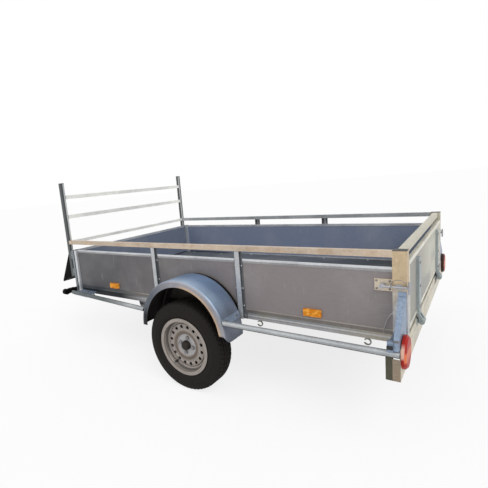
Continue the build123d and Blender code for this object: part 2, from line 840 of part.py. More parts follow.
ball_x = nose_x - 42
ball_z = drawbar_z[0] + 30
sleeve = tube_along(
    "x",
    (nose_x - coupling_length, drawbar_front_x),
    (-drawbar_half - 4, drawbar_half + 4),
    (drawbar_z[0] - 4, drawbar_z[1] + 4),
    4,
)
neck = block((drawbar_front_x, ball_x), (-30, 30), (drawbar_z[0] - 4, drawbar_z[1] + 4))
head = ring((ball_x, 0, (ball_z - 20 + drawbar_z[1]) / 2), "z", 42, 0, drawbar_z[1] - ball_z + 20)
coupling = sleeve + neck + head
coupling -= Pos(ball_x, 0, ball_z) * Sphere(ball_radius + seat)
coupling -= ring((ball_x, 0, ball_z - 40), "z", ball_radius + seat, 0, 80)
nodes["coupling_head"] = coupling
handle = block((ball_x - 150, ball_x - 20), (-14, 14), (drawbar_z[1] + 30, drawbar_z[1] + 40))
handle += block((ball_x - 40, ball_x - 20), (-14, 14), (drawbar_z[1] + 4, drawbar_z[1] + 40))
nodes["coupling_handle"] = handle

# ---- jockey wheel ----
tube_bore = leg_radius + 0.05
tube_mid = (jockey_tube_bottom + jockey_tube_top) / 2
nodes["jockey_tube"] = ring(
    (jockey_x, jockey_y, tube_mid),
    "z",
    jockey_tube_radius,
    tube_bore,
    jockey_tube_top - jockey_tube_bottom,
)
clamp_z = (drawbar_z[0] + 5, drawbar_z[1] - 5)
jockey_clamp = block((jockey_x - 45, jockey_x + 45), (jockey_y - 40, -drawbar_half), clamp_z)
jockey_clamp -= ring((jockey_x, jockey_y, 420), "z", jockey_tube_radius + seat, 0, 200)
jockey_clamp -= block((jockey_x - 60, jockey_x + 60), (jockey_y - 60, jockey_y - 2), (300, 500))
nodes["jockey_clamp"] = jockey_clamp
crank_reach = 78
crank_y = (jockey_y - 5, jockey_y + 5)
crank = ring((jockey_x, jockey_y, jockey_tube_top + 4), "z", jockey_tube_radius + 3, 0, 8)
crank += ring((jockey_x, jockey_y, jockey_tube_top + 16), "z", 9, 0, 24)
crank_z = (jockey_tube_top + 20, jockey_tube_top + 30)
crank += block((jockey_x - 10, jockey_x + crank_reach + 10), crank_y, crank_z)
crank += ring((jockey_x + crank_reach, jockey_y, jockey_tube_top - 25), "z", 11, 0, 92)
nodes["jockey_crank"] = crank

leg_top = jockey_tube_top - jockey_lift - 10
leg_foot = fork_top + seat
leg_mid = (leg_foot + leg_top) / 2
leg_bore = 12
leg = ring((jockey_x, jockey_y, leg_mid), "z", leg_radius, leg_bore, leg_top - leg_foot)
nodes["jockey_leg"] = leg
wheel_x = jockey_x - jockey_trail
fork_gap = jockey_wheel_width / 2 + 4
plate_outline = [
    (wheel_x - 20, jockey_wheel_radius - 16),
    (wheel_x + 20, jockey_wheel_radius - 16),
    (jockey_x + 28, fork_top),
    (jockey_x - 60, fork_top),
]
fork_plate = along_y(plate_outline, (jockey_y + fork_gap, jockey_y + fork_gap + 4))
other_plate = along_y(plate_outline, (jockey_y - fork_gap - 4, jockey_y - fork_gap))
fork = fork_plate + other_plate
fork_y = (jockey_y - fork_gap - 4, jockey_y + fork_gap + 4)
fork += block((jockey_x - 60, jockey_x + 28), fork_y, (fork_top - 8, fork_top))
fork += ring((jockey_x, jockey_y, fork_top + 13), "z", leg_bore - running_clearance, 0, 26)
fork += ring((wheel_x, jockey_y, jockey_wheel_radius), "y", 8, 0, 2 * fork_gap + 14)
nodes["jockey_fork"] = fork
wheel_outline = [
    (8.05, -jockey_wheel_width / 2),
    (60, -jockey_wheel_width / 2),
    (60, -18),
    (72, -jockey_wheel_width / 2),
    (94, -jockey_wheel_width / 2 + 2),
    (jockey_wheel_radius, -14),
    (jockey_wheel_radius, 14),
    (94, jockey_wheel_width / 2 - 2),
    (72, jockey_wheel_width / 2),
    (60, 18),
    (60, jockey_wheel_width / 2),
    (8.05, jockey_wheel_width / 2),
]
wire = Polyline(*[(p[0], 0, p[1]) for p in wheel_outline], close=True)
small_wheel = revolve(make_face(wire), axis=Axis.Z)
nodes["jockey_wheel"] = Pos(wheel_x, jockey_y, jockey_wheel_radius) * Rot(-90, 0, 0) * small_wheel

# ---- lamps, chocks and hooks ----
marker_places = [(2009, 529), (443, 529)]
markers = [
    block((rear_x + x - 47, rear_x + x + 47), (skin_y - edge_wall, skin_y + 12), (z, z + 38))
    for x, z in marker_places
]
nodes["side_markers"] = both_sides(Compound([s for m in markers for s in m.solids()]))

position_lamp_y = half_width + 86
lamp_arm = along_z(
    [
        (front_x, half_width - 45),
        (front_x + 34, half_width - 45),
        (front_x + 42, position_lamp_y),
        (front_x + 12, position_lamp_y),
        (front_x, half_width),
    ],
    (side_tube_z - 30, side_tube_z),
)
lamp_arm += ring((front_x + 27, position_lamp_y, side_tube_z - 15), "x", 23, 0, 38)
nodes["position_lamps"] = both_sides(lamp_arm)

chock_back = head_x[1] + 8
chock_y = (half_width - 160, half_width - 22)
chock_z = (595, 800)
chock_outline = [
    (chock_back, chock_z[0]),
    (chock_back + 160, chock_z[0] - 75),
    (chock_back + 168, chock_z[0] - 67),
    (chock_back + 14, chock_z[1]),
    (chock_back, chock_z[1]),
]
nodes["wheel_chocks"] = both_sides(along_y(chock_outline, chock_y))
holder_y = (chock_y[0] + 50, chock_y[0] + 90)
holder_z = (chock_z[0] + 5, chock_z[1] - 40)
holder = block((front_x - edge_wall, chock_back), holder_y, holder_z)
nodes["chock_holders"] = both_sides(holder)

hook_outer = 18
hook_inner = 12
hook_drop = 22           # beam's underside to the middle of a hook
hooks = []
for share in (0.071, 0.306, 0.694, 0.929):
    x = rear_x + share * box_length
    z = beam_bottom - hook_drop
    hook = ring((x, skin_y - 12, z), "y", hook_outer, hook_inner, 7)
    hook += block((x - 4, x + 4), (skin_y - 15.5, skin_y - 8.5), (z + hook_inner + 1, beam_bottom))
    hook -= block((x + 4, x + 40), (skin_y - 40, skin_y), (z - 6, z + 8))
    hooks += hook.solids()
nodes["tie_hooks"] = both_sides(Compound(hooks))

os.makedirs("parts", exist_ok=True)
for name, shape in nodes.items():
    export_step(shape, f"parts/{name}.step")
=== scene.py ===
import math

import bmesh
import bpy
from mathutils import Matrix, Vector


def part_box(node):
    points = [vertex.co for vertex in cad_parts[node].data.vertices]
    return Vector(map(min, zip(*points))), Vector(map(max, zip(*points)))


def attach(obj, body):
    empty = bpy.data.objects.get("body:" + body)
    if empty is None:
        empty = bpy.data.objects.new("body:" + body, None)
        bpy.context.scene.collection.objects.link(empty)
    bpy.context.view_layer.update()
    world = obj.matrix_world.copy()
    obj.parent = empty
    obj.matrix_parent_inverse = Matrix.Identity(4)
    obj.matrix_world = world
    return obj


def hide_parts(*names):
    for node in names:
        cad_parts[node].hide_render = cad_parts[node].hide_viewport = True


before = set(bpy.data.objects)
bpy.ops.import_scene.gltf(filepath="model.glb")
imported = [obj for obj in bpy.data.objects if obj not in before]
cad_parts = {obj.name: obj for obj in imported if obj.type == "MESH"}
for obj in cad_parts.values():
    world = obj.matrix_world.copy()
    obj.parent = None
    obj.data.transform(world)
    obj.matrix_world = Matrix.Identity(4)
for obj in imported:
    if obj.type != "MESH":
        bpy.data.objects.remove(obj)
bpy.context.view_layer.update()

# ---- camera, in the shared frame ----
PICTURE = 488                     # the image is square, in pixels
CAMERA_PLACE = Vector((-2.0556, 2.5610, 1.2649))
CAMERA_AZIMUTH = math.radians(217.53)
CAMERA_ELEVATION = math.radians(8.763)
CAMERA_ROLL = math.radians(-5.272)
FOCAL_PIXELS = 374.85
OPTICAL_CENTRE = (201.86, 241.54)
SENSOR = 36.0                     # the sensor's width, in millimetres
NEAR_CLIP = 0.05


def add_camera():
    """Sets up the photo's camera; back points from its target to its lens."""
    back = Vector((
        math.sin(CAMERA_AZIMUTH) * math.cos(CAMERA_ELEVATION),
        -math.cos(CAMERA_AZIMUTH) * math.cos(CAMERA_ELEVATION),
        math.sin(CAMERA_ELEVATION),
    ))
    level_right = (-back).cross(Vector((0, 0, 1))).normalized()
    level_up = level_right.cross(-back)
    turn = math.cos(CAMERA_ROLL), math.sin(CAMERA_ROLL)
    right = turn[0] * level_right + turn[1] * level_up
    up = turn[0] * level_up - turn[1] * level_right
    data = bpy.data.cameras.new("camera")
    data.sensor_width = SENSOR
    data.lens = FOCAL_PIXELS / PICTURE * SENSOR
    data.shift_x = (PICTURE / 2 - OPTICAL_CENTRE[0]) / PICTURE
    data.shift_y = (OPTICAL_CENTRE[1] - PICTURE / 2) / PICTURE
    data.clip_start = NEAR_CLIP
    camera = bpy.data.objects.new("camera", data)
    axes = Matrix((right, up, back)).transposed()
    camera.matrix_world = Matrix.Translation(CAMERA_PLACE) @ axes.to_4x4()
    bpy.context.scene.collection.objects.link(camera)
    bpy.context.scene.camera = camera


# ---- material building ----
WHITE = (1.0, 1.0, 1.0, 1.0)
MATERIALS = {}                   # by the names used here, as Blender may number its own


def new_material(name):
    """Adds a material; gives its tree, its shader and the socket of places in object space."""
    material = bpy.data.materials.new(name)
    material.use_nodes = True
    MATERIALS[name] = material
    tree = material.node_tree
    place = tree.nodes.new("ShaderNodeTexCoord")
    return tree, tree.nodes["Principled BSDF"], place.outputs["Object"]


def noise(tree, where, scale, detail=4.0, rough=0.5, stretch=None):
    """A noise field in object space, scale in cycles per metre."""
    if stretch:
        mapping = tree.nodes.new("ShaderNodeMapping")
        mapping.inputs["Scale"].default_value = stretch
        tree.links.new(where, mapping.inputs["Vector"])
        where = mapping.outputs["Vector"]
    node = tree.nodes.new("ShaderNodeTexNoise")
    node.inputs["Scale"].default_value = scale
    node.inputs["Detail"].default_value = detail
    node.inputs["Roughness"].default_value = rough
    tree.links.new(where, node.inputs["Vector"])
    return node.outputs["Fac"]


def ramp(tree, fac, stops):
    """Colours along a factor: stops of (place, colour)."""
    node = tree.nodes.new("ShaderNodeValToRGB")
    elements = node.color_ramp.elements
    while len(elements) < len(stops):
        elements.new(0.5)
    for element, (place, colour) in zip(elements, stops):
        element.position = place
        element.color = (*colour, 1.0)
    tree.links.new(fac, node.inputs["Fac"])
    return node.outputs["Color"]


def mix(tree, fac, first, second, blend="MIX"):
    """Mixes two colours, each a socket or an (r, g, b)."""
    node = tree.nodes.new("ShaderNodeMix")
    node.data_type = "RGBA"
    node.blend_type = blend
    for name, value in (("Factor", fac), ("A", first), ("B", second)):
        socket = node.inputs[name]
        if isinstance(value, (int, float)):
            socket.default_value = value
        elif isinstance(value, tuple):
            socket.default_value = (*value, 1.0)
        else:
            tree.links.new(value, socket)
    return node.outputs["Result"]


def spread(tree, fac, low, high, new_low, new_high):
    """Maps a factor's range onto another."""
    node = tree.nodes.new("ShaderNodeMapRange")
    limits = {"From Min": low, "From Max": high, "To Min": new_low, "To Max": new_high}
    for name, value in limits.items():
        node.inputs[name].default_value = value
    tree.links.new(fac, node.inputs["Value"])
    return node.outputs["Result"]


def bump(tree, shader, height, strength, distance):
    """Tilts the shader's surface by a height field; distance is in metres."""
    node = tree.nodes.new("ShaderNodeBump")
    node.inputs["Strength"].default_value = strength
    node.inputs["Distance"].default_value = distance
    tree.links.new(height, node.inputs["Height"])
    tree.links.new(node.outputs["Normal"], shader.inputs["Normal"])


def fold(tree, operation, factors):
    """Joins factors from left to right by a Math node's operation."""
    result = factors[0]
    for factor in factors[1:]:
        node = tree.nodes.new("ShaderNodeMath")
        node.operation = operation
        tree.links.new(result, node.inputs[0])
        tree.links.new(factor, node.inputs[1])
        result = node.outputs[0]
    return result


def times(tree, *factors):
    return fold(tree, "MULTIPLY", factors)


def along(tree, where, axis, low, high):
    """0 to 1 as a coordinate goes from low to high, in metres.

    The axes |X|, |Y| and |Z| take the coordinate without its sign.
    """
    parts = tree.nodes.new("ShaderNodeSeparateXYZ")
    tree.links.new(where, parts.inputs[0])
    value = parts.outputs[axis.strip("|")]
    if axis.startswith("|"):
        size = tree.nodes.new("ShaderNodeMath")
        size.operation = "ABSOLUTE"
        tree.links.new(value, size.inputs[0])
        value = size.outputs[0]
    return spread(tree, value, low, high, 0.0, 1.0)


def from_axis(tree, where, centre):
    """The distance from an axis along Y, in metres."""
    shift = tree.nodes.new("ShaderNodeVectorMath")
    shift.operation = "SUBTRACT"
    shift.inputs[1].default_value = centre
    tree.links.new(where, shift.inputs[0])
    flat = tree.nodes.new("ShaderNodeVectorMath")
    flat.operation = "MULTIPLY"
    flat.inputs[1].default_value = (1.0, 0.0, 1.0)
    tree.links.new(shift.outputs[0], flat.inputs[0])
    length = tree.nodes.new("ShaderNodeVectorMath")
    length.operation = "LENGTH"
    tree.links.new(flat.outputs[0], length.inputs[0])
    return length.outputs["Value"]


def turned(tree, where, centre, low, high):
    """0 to 1 as the distance from an axis along Y goes from low to high."""
    return spread(tree, from_axis(tree, where, centre), low, high, 0.0, 1.0)


def zoned(tree, where, tone, zones):
    """Lays colours over a tone; zones are (factor builder, colour) in order."""
    for factor, colour in zones:
        tone = mix(tree, factor(tree, where), tone, colour)
    return tone


def grey(level):
    return (level, level, level)


def zinc(name, base, warm=None, metallic=0.55, rough=(0.34, 0.55),
         spangle=120.0, contrast=0.14, zones=()):
    """Hot-dip zinc: crystal flakes, dull patches, warm stains and fine grain."""
    tree, shader, where = new_material(name)
    cells = tree.nodes.new("ShaderNodeTexVoronoi")
    cells.inputs["Scale"].default_value = spangle
    tree.links.new(where, cells.inputs["Vector"])
    flakes = spread(tree, cells.outputs["Color"], 0.0, 1.0, 1 - contrast, 1.0 + contrast * 0.4)
    patches = noise(tree, where, 6.0, 5.0, 0.6)
    stains = noise(tree, where, 14.0, 3.0, 0.55)
    tone = base
    if warm:
        tone = mix(tree, spread(tree, stains, 0.50, 0.66, 0.0, 0.75), tone, warm)
    tone = zoned(tree, where, tone, zones)
    worn = ramp(tree, patches, [(0.34, (0.80, 0.80, 0.82)), (0.60, grey(1.0))])
    colour = mix(tree, 1.0, mix(tree, 1.0, tone, worn, "MULTIPLY"), flakes, "MULTIPLY")
    tree.links.new(colour, shader.inputs["Base Color"])
    shader.inputs["Metallic"].default_value = metallic
    tree.links.new(spread(tree, patches, 0.3, 0.75, *rough), shader.inputs["Roughness"])
    grain = noise(tree, where, 420.0, 3.0)
    bump(tree, shader, grain, 0.25, 0.0004)


def film_plywood(name, base, rough=0.38, zones=(), grain_stretch=(1.0, 1.0, 9.0)):
    """Film-faced board: a hard coloured film with faint grain, scuffs and dust."""
    tree, shader, where = new_material(name)
    grain = noise(tree, where, 26.0, 6.0, 0.62, grain_stretch)
    dust = noise(tree, where, 3.2, 5.0, 0.6)
    scuffs = noise(tree, where, 60.0, 2.0, 0.5, (1.0, 1.0, 0.12))
    shades = ramp(tree, grain, [(0.30, grey(0.93)), (0.70, grey(1.05))])
    tone = mix(tree, 1.0, zoned(tree, where, base, zones), shades, "MULTIPLY")
    tone = mix(tree, spread(tree, dust, 0.48, 0.80, 0.0, 0.16), tone, (0.62, 0.60, 0.58))
    tone = mix(tree, spread(tree, scuffs, 0.68, 0.78, 0.0, 0.12), tone, (0.75, 0.74, 0.72))
    tree.links.new(tone, shader.inputs["Base Color"])
    tree.links.new(spread(tree, dust, 0.3, 0.7, rough, rough + 0.16), shader.inputs["Roughness"])
    bump(tree, shader, grain, 0.12, 0.0006)


def moulded(name, base, rough=0.5, grain_scale=600.0, metallic=0.0,
            depth=0.0003, gloss=0.5, zones=()):
    """Moulded plastic, rubber or sprayed paint with a fine grain and light dust."""
    tree, shader, where = new_material(name)
    dust = noise(tree, where, 9.0, 5.0, 0.6)
    tone = zoned(tree, where, base, zones)
    shades = ramp(tree, dust, [(0.35, grey(0.84)), (0.60, grey(1.0)), (0.85, grey(1.3))])
    tree.links.new(mix(tree, 1.0, tone, shades, "MULTIPLY"), shader.inputs["Base Color"])
    shader.inputs["Metallic"].default_value = metallic
    shader.inputs["Specular IOR Level"].default_value = gloss
    tree.links.new(spread(tree, dust, 0.3, 0.8, rough - 0.08, rough + 0.12), shader.inputs["Roughness"])
    bump(tree, shader, noise(tree, where, grain_scale, 2.0), 0.3, depth)


def lens(name, base, zones=()):
    """A lamp lens: clear coat over coloured plastic with moulded prisms."""
    tree, shader, where = new_material(name)
    prisms = tree.nodes.new("ShaderNodeTexVoronoi")
    prisms.inputs["Scale"].default_value = 140.0
    prisms.inputs["Randomness"].default_value = 0.1
    tree.links.new(where, prisms.inputs["Vector"])
    tone = zoned(tree, where, base, zones)
    shades = ramp(tree, prisms.outputs["Distance"], [(0.0, grey(1.12)), (0.9, grey(0.78))])
    tree.links.new(mix(tree, 1.0, tone, shades, "MULTIPLY"), shader.inputs["Base Color"])
    shader.inputs["Roughness"].default_value = 0.38
    shader.inputs["Specular IOR Level"].default_value = 0.14
    shader.inputs["Coat Weight"].default_value = 0.03
    bump(tree, shader, prisms.outputs["Distance"], 0.3, 0.0008)


# ---- places read from the frame, in metres ----
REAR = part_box("rear_posts")[0][0]
CROSSBAR_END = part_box("rear_crossbar")[1][1]
PANEL_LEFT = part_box("side_panel_left")
PANEL_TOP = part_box("side_edging")[1][2]
SIDE_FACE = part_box("side_edging")[1][1]
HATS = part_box("uprights")
FRONT_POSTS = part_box("front_posts")
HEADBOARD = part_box("headboard")
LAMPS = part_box("tail_lamps")
LAMP_MIDDLE = (LAMPS[0][2] + LAMPS[1][2]) / 2
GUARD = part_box("mudguard_left")
GUARD_SIDE = GUARD[1][1]
GUARD_RADIUS = (GUARD[1][0] - GUARD[0][0]) / 2
GUARD_AXIS = ((GUARD[0][0] + GUARD[1][0]) / 2, 0.0, GUARD[1][2] - GUARD_RADIUS)
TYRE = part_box("tyre_left")
AXLE = tuple((low + high) / 2 for low, high in zip(*TYRE))


# ---- zones of colour ----
# Each builder makes a factor that is 1 inside its zone and 0 outside, with a soft edge between.
def outer_side(tree, where):
    """The outer faces of the side panels."""
    middle = (PANEL_LEFT[0][1] + PANEL_LEFT[1][1]) / 2
    return along(tree, where, "|Y|", middle - 0.002, middle + 0.002)


def outer_front_shade(tree, where):
    """Painted shade on the side panels' outer faces, more and more towards the front."""
    front = along(tree, where, "X", REAR + 0.75, REAR + 1.95)
    return times(tree, outer_side(tree, where), front)


# The trailer's right half, painted in the light that side gets.
def right_side_lighting(tree, where):
    return along(tree, where, "Y", 0.30, -0.30)


def head_legs(tree, where):
    """The headboard's legs, beyond the ends of its bars."""
    inner = HEADBOARD[1][1] - 0.031
    return along(tree, where, "|Y|", inner - 0.001, inner + 0.001)


def leg_rear_face_light(tree, where):
    """Painted light on the inner half of each leg's rear face."""
    rear = HEADBOARD[0][0]
    half = HEADBOARD[1][1] - 0.016
    face = along(tree, where, "X", rear + 0.0012, rear + 0.0004)
    inner = along(tree, where, "|Y|", half + 0.001, half - 0.001)
    return times(tree, head_legs(tree, where), face, inner)


def inside_guard(tree, where, low, high):
    """0 to 1 as the depth below a mudguard's crown goes from low to high."""
    return turned(tree, where, GUARD_AXIS, GUARD_RADIUS - low, GUARD_RADIUS - high)


def guard_inside_shade(tree, where):
    """Painted shade on the arch's inner faces, which lie behind its outline by the sheet's thickness.
    """
    flank = along(tree, where, "|Y|", GUARD_SIDE - 0.0012, GUARD_SIDE - 0.0022)
    offset = along(tree, where, "|Y|", 0.0, 1.0)
    reach = fold(tree, "ADD", [from_axis(tree, where, GUARD_AXIS), offset])
    limit = GUARD_SIDE + GUARD_RADIUS - 0.0125
    shoulder = spread(tree, reach, limit + 0.0004, limit - 0.0004, 0.0, 1.0)
    return times(tree, flank, inside_guard(tree, where, 0.0015, 0.0025), shoulder)


def guard_face(tree, where):
    """The mudguards' outer flanks."""
    return along(tree, where, "|Y|", GUARD_SIDE - 0.0075, GUARD_SIDE - 0.0025)


# Painted sky reflection on the mudguards' tops.
def guard_crown_reflection(tree, where):
    return along(tree, where, "Z", 0.50, 0.68)


def guard_brow_highlight(tree, where):
    """A painted highlight on the arch beside its outer shoulder."""
    outer = along(tree, where, "|Y|", GUARD_SIDE - 0.10, GUARD_SIDE - 0.02)
    return times(tree, outer, along(tree, where, "Z", 0.48, 0.60))


def guard_warm_reflection(tree, where):
    """A painted warm reflection of the ground on the lip's inner edge behind the axle."""
    behind = along(tree, where, "X", AXLE[0], AXLE[0] - 0.08)
    return times(tree, guard_face(tree, where), behind, inside_guard(tree, where, 0.020, 0.040))


def guard_shade(tree, where):
    """The outer flanks ahead of the axle."""
    ahead = along(tree, where, "X", AXLE[0] + 0.02, AXLE[0] + 0.20)
    return times(tree, guard_face(tree, where), ahead)


def guard_nose(tree, where):
    """The low front end of the mudguard, in the shade."""
    ahead = along(tree, where, "X", AXLE[0] + 0.20, AXLE[0] + 0.27)
    low = along(tree, where, "Z", 0.53, 0.46)
    outer = along(tree, where, "|Y|", GUARD_SIDE - 0.06, GUARD_SIDE - 0.04)
    return times(tree, ahead, low, inside_guard(tree, where, 0.010, 0.018), outer)


def arch_shade(tree, where):
    """Painted shade on the box's side inside a mudguard's arch."""
    face = along(tree, where, "|Y|", SIDE_FACE - 0.006, SIDE_FACE - 0.004)
    return times(tree, face, inside_guard(tree, where, 0.001, 0.008))


def upper_height(tree, where):
    return along(tree, where, "Z", 0.68, 0.74)


def upper_post_light(tree, where):
    """Painted warm light on the upper part of the left rear post."""
    near = along(tree, where, "Y", CROSSBAR_END + 0.0005, CROSSBAR_END + 0.0015)
    return times(tree, near, upper_height(tree, where))


def upper_rear_light(tree, where):
    """Painted light on the rear crossbar and the upper part of the right rear post."""
    others = along(tree, where, "Y", CROSSBAR_END + 0.0015, CROSSBAR_END + 0.0005)
    return times(tree, others, upper_height(tree, where))


def hinge_dark_patch(tree, where):
    """A dark patch below the right hinge."""
    left = along(tree, where, "Y", -0.33, -0.40)
    right = along(tree, where, "Y", -0.72, -0.66)
    return times(tree, left, right, along(tree, where, "Z", 0.425, 0.440))


def gate_left(tree, where):
    """The tailgate's left part, in duller light."""
    return along(tree, where, "Y", -0.10, 0.45)


def streaks(tree, where):
    """Slanting dull streaks on the tailgate's film."""
    field = noise(tree, where, 2.1, 2.0, 0.5, (1.0, 1.0, 2.6))
    return spread(tree, field, 0.46, 0.60, 0.0, 0.8)


def floor_rear(tree, where):
    return along(tree, where, "X", REAR + 1.0, REAR + 0.3)


def hat_flange_shade(tree, where):
    """Painted shade on the flanges beside each upright's raised middle."""
    return along(tree, where, "|Y|", HATS[1][1] - 0.002, HATS[1][1] - 0.004)


def edge_lower_shade(tree, where):
    """Painted shade on the edging's outer face, below its bright folded top."""
    face = along(tree, where, "|Y|", SIDE_FACE - 0.0015, SIDE_FACE - 0.0005)
    return times(tree, face, along(tree, where, "Z", PANEL_TOP - 0.007, PANEL_TOP - 0.009))


def post_strip_light(tree, where):
    """Painted light on the rear part of each front post."""
    edge = FRONT_POSTS[1][0] - 0.035
    return along(tree, where, "X", edge, edge - 0.001)


def post_seam(tree, where):
    """A dark seam down the outer face of each front post."""
    front, outer = FRONT_POSTS[1][:2]
    rear_edge = along(tree, where, "X", front - 0.036, front - 0.0345)
    front_edge = along(tree, where, "X", front - 0.0245, front - 0.0255)
    outside = along(tree, where, "|Y|", outer - 0.0025, outer - 0.0020)
    return times(tree, rear_edge, front_edge, outside)


def latch_rod(tree, where):
    """All of a latch but its plate."""
    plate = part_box("latches")[1][1] - 0.031
    return along(tree, where, "|Y|", plate + 0.0015, plate + 0.0025)


def lamp_foot_reflection(tree, where):
    """A painted pale reflection on the foot of a tail lamp's barrel, against its board."""
    foot = along(tree, where, "X", LAMPS[1][0] - 0.015, LAMPS[1][0] - 0.010)
    above = along(tree, where, "Z", LAMP_MIDDLE - 0.010, LAMP_MIDDLE + 0.002)
    below = along(tree, where, "Z", LAMP_MIDDLE + 0.056, LAMP_MIDDLE + 0.036)
    return times(tree, above, below, foot)


def lamp_highlight(tree, where):
    """A painted highlight: a bright upright streak on the lower half of the barrel."""
    rear_edge = along(tree, where, "X", LAMPS[1][0] - 0.023, LAMPS[1][0] - 0.019)
    front_edge = along(tree, where, "X", LAMPS[1][0] - 0.010, LAMPS[1][0] - 0.014)
    above = along(tree, where, "Z", LAMP_MIDDLE - 0.030, LAMP_MIDDLE - 0.018)
    below = along(tree, where, "Z", LAMP_MIDDLE + 0.026, LAMP_MIDDLE + 0.010)
    return times(tree, rear_edge, front_edge, above, below)


def lamp_inner(tree, where):
    """The inner half of the right lamp's barrel, in the shade of the box."""
    barrel = along(tree, where, "X", LAMPS[0][0] + 0.0002, LAMPS[0][0] + 0.0008)
    right = along(tree, where, "Y", 0.001, -0.001)
    inner = along(tree, where, "|Y|", LAMPS[1][1] - 0.070, LAMPS[1][1] - 0.076)
    return times(tree, barrel, right, inner)


def board_end_shade(tree, where):
    """Painted shade on the ends of the lamp board."""
    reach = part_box("lamp_board")[1][1]
    return along(tree, where, "|Y|", reach - 0.008, reach - 0.006)


def front_shade(tree, where):
    """The last 0.4 m of the box's length or so, towards the front, where shade is painted."""
    return along(tree, where, "X", REAR + 1.65, REAR + 1.95)


def foot_edge_shade(tree, where):
    """Painted shade on the front part of the panels' edging, below its top."""
    low = along(tree, where, "Z", PANEL_TOP - 0.05, PANEL_TOP - 0.06)
    return times(tree, low, front_shade(tree, where))


def tube_under(tree, where):
    """The shaded undersides of the side tubes."""
    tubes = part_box("side_tubes")
    middle = (tubes[0][2] + tubes[1][2]) / 2
    return along(tree, where, "Z", middle - 0.004, middle - 0.010)


def beam_face(tree, where):
    """The outer faces of the side beams and of the panels' foot edging."""
    return along(tree, where, "|Y|", SIDE_FACE - 0.003, SIDE_FACE - 0.0015)


def lit_and_shaded_band(low, high, blur=0.0015):
    """A level stripe on the beams' outer faces, between two heights, painted with the light and shade
    of the profile's ribs.
    """
    def factor(tree, where):
        above = along(tree, where, "Z", low - blur, low + blur)
        below = along(tree, where, "Z", high + blur, high - blur)
        return times(tree, above, below, beam_face(tree, where))
    return factor


def rear_warm(tree, where):
    """The side beams' rear ends, lit from the ground."""
    return times(tree, beam_face(tree, where), along(tree, where, "X", REAR + 0.36, REAR + 0.14))


def wheel_band(inner, outer, blur=0.003):
    """A ring of a wheel's face between two radii."""
    def factor(tree, where):
        centre = (AXLE[0], 0.0, AXLE[2])
        beyond = turned(tree, where, centre, inner - blur, inner + blur)
        within = turned(tree, where, centre, outer + blur, outer - blur)
        return times(tree, beyond, within)
    return factor


def marker_glints(tree, where):
    """Painted glints in the amber lenses: bright patches over the duller base."""
    field = noise(tree, where, 45.0, 2.0, 0.5, (1.0, 0.2, 1.6))
    return spread(tree, field, 0.46, 0.60, 0.0, 1.0)


# ---- finishes ----
BEAM_SHADE = (0.012, 0.010, 0.008)

zinc("frame_zinc", (0.30, 0.33, 0.35))
zinc("beam_zinc", (0.27, 0.29, 0.30), warm=(0.26, 0.25, 0.19), zones=[
    # painted light along a rib of the beam
    (lit_and_shaded_band(0.456, 0.468), (0.37, 0.36, 0.37)),
    (rear_warm, (0.40, 0.37, 0.31)),
    # painted highlight along a rib of the beam
    (lit_and_shaded_band(0.474, 0.481), (0.54, 0.53, 0.53)),
    # painted shade on the beams' front part
    (front_shade, (0.006, 0.010, 0.013)),
    (arch_shade, BEAM_SHADE),
])
zinc("tube_zinc", (0.40, 0.42, 0.43), rough=(0.26, 0.42), zones=[
    # painted shade on the tubes' front part
    (front_shade, (0.11, 0.13, 0.135)),
    (tube_under, (0.085, 0.08, 0.075)),
])
# cream tone: painted sunlight on the rear-facing cross beam and lamp board
zinc("cream_zinc", (0.70, 0.66, 0.54), warm=(0.58, 0.50, 0.36), metallic=0.4, zones=[
    # painted shade on the board's ends
    (board_end_shade, (0.30, 0.235, 0.17)),
    (hinge_dark_patch, (0.05, 0.03, 0.026)),
])
zinc("post_zinc", (0.58, 0.57, 0.57), warm=(0.48, 0.42, 0.34), spangle=70.0, zones=[
    # painted light on the posts' upper parts and the crossbar
    (upper_post_light, (0.58, 0.45, 0.29)),
    (upper_rear_light, (0.60, 0.57, 0.46)),
])
# dark tone: painted shade on the left half; the right half is painted lighter
zinc("front_zinc", (0.24, 0.27, 0.29), zones=[
    (right_side_lighting, (0.42, 0.46, 0.50)),
    # painted light on the posts' rear parts
    (post_strip_light, (0.66, 0.68, 0.70)),
    (post_seam, (0.03, 0.03, 0.03)),
])
# warm tone: painted sunlight on the left top rail; the right rail is painted greyer, out of it
zinc("rail_zinc", (0.60, 0.49, 0.38), warm=(0.52, 0.38, 0.26), zones=[
    (right_side_lighting, (0.45, 0.47, 0.48)),
])
# near-white tone: painted sunlight on the headboard's bars
zinc("head_zinc", (0.95, 0.95, 0.90), metallic=0.1, contrast=0.08, zones=[
    # painted shade on the legs
    (head_legs, (0.075, 0.085, 0.085)),
    # painted light on the legs' rear faces
    (leg_rear_face_light, (0.62, 0.63, 0.62)),
])
zinc("edge_zinc", (0.66, 0.68, 0.70), rough=(0.28, 0.42), zones=[
    # painted shade on the edging's outer face
    (edge_lower_shade, (0.34, 0.335, 0.34)),
    # painted shade along the edging's profile
    (lit_and_shaded_band(0.490, 0.511), (0.20, 0.18, 0.16)),
    # painted light along the edging's profile
    (lit_and_shaded_band(0.513, 0.520), (0.39, 0.355, 0.31)),
    # painted shade on the edging's front part
    (foot_edge_shade, (0.08, 0.086, 0.092)),
    (arch_shade, BEAM_SHADE),
])
zinc("hat_zinc", (0.56, 0.57, 0.58), rough=(0.28, 0.42), zones=[
    # painted shade on the flanges
    (hat_flange_shade, (0.15, 0.16, 0.17)),
])
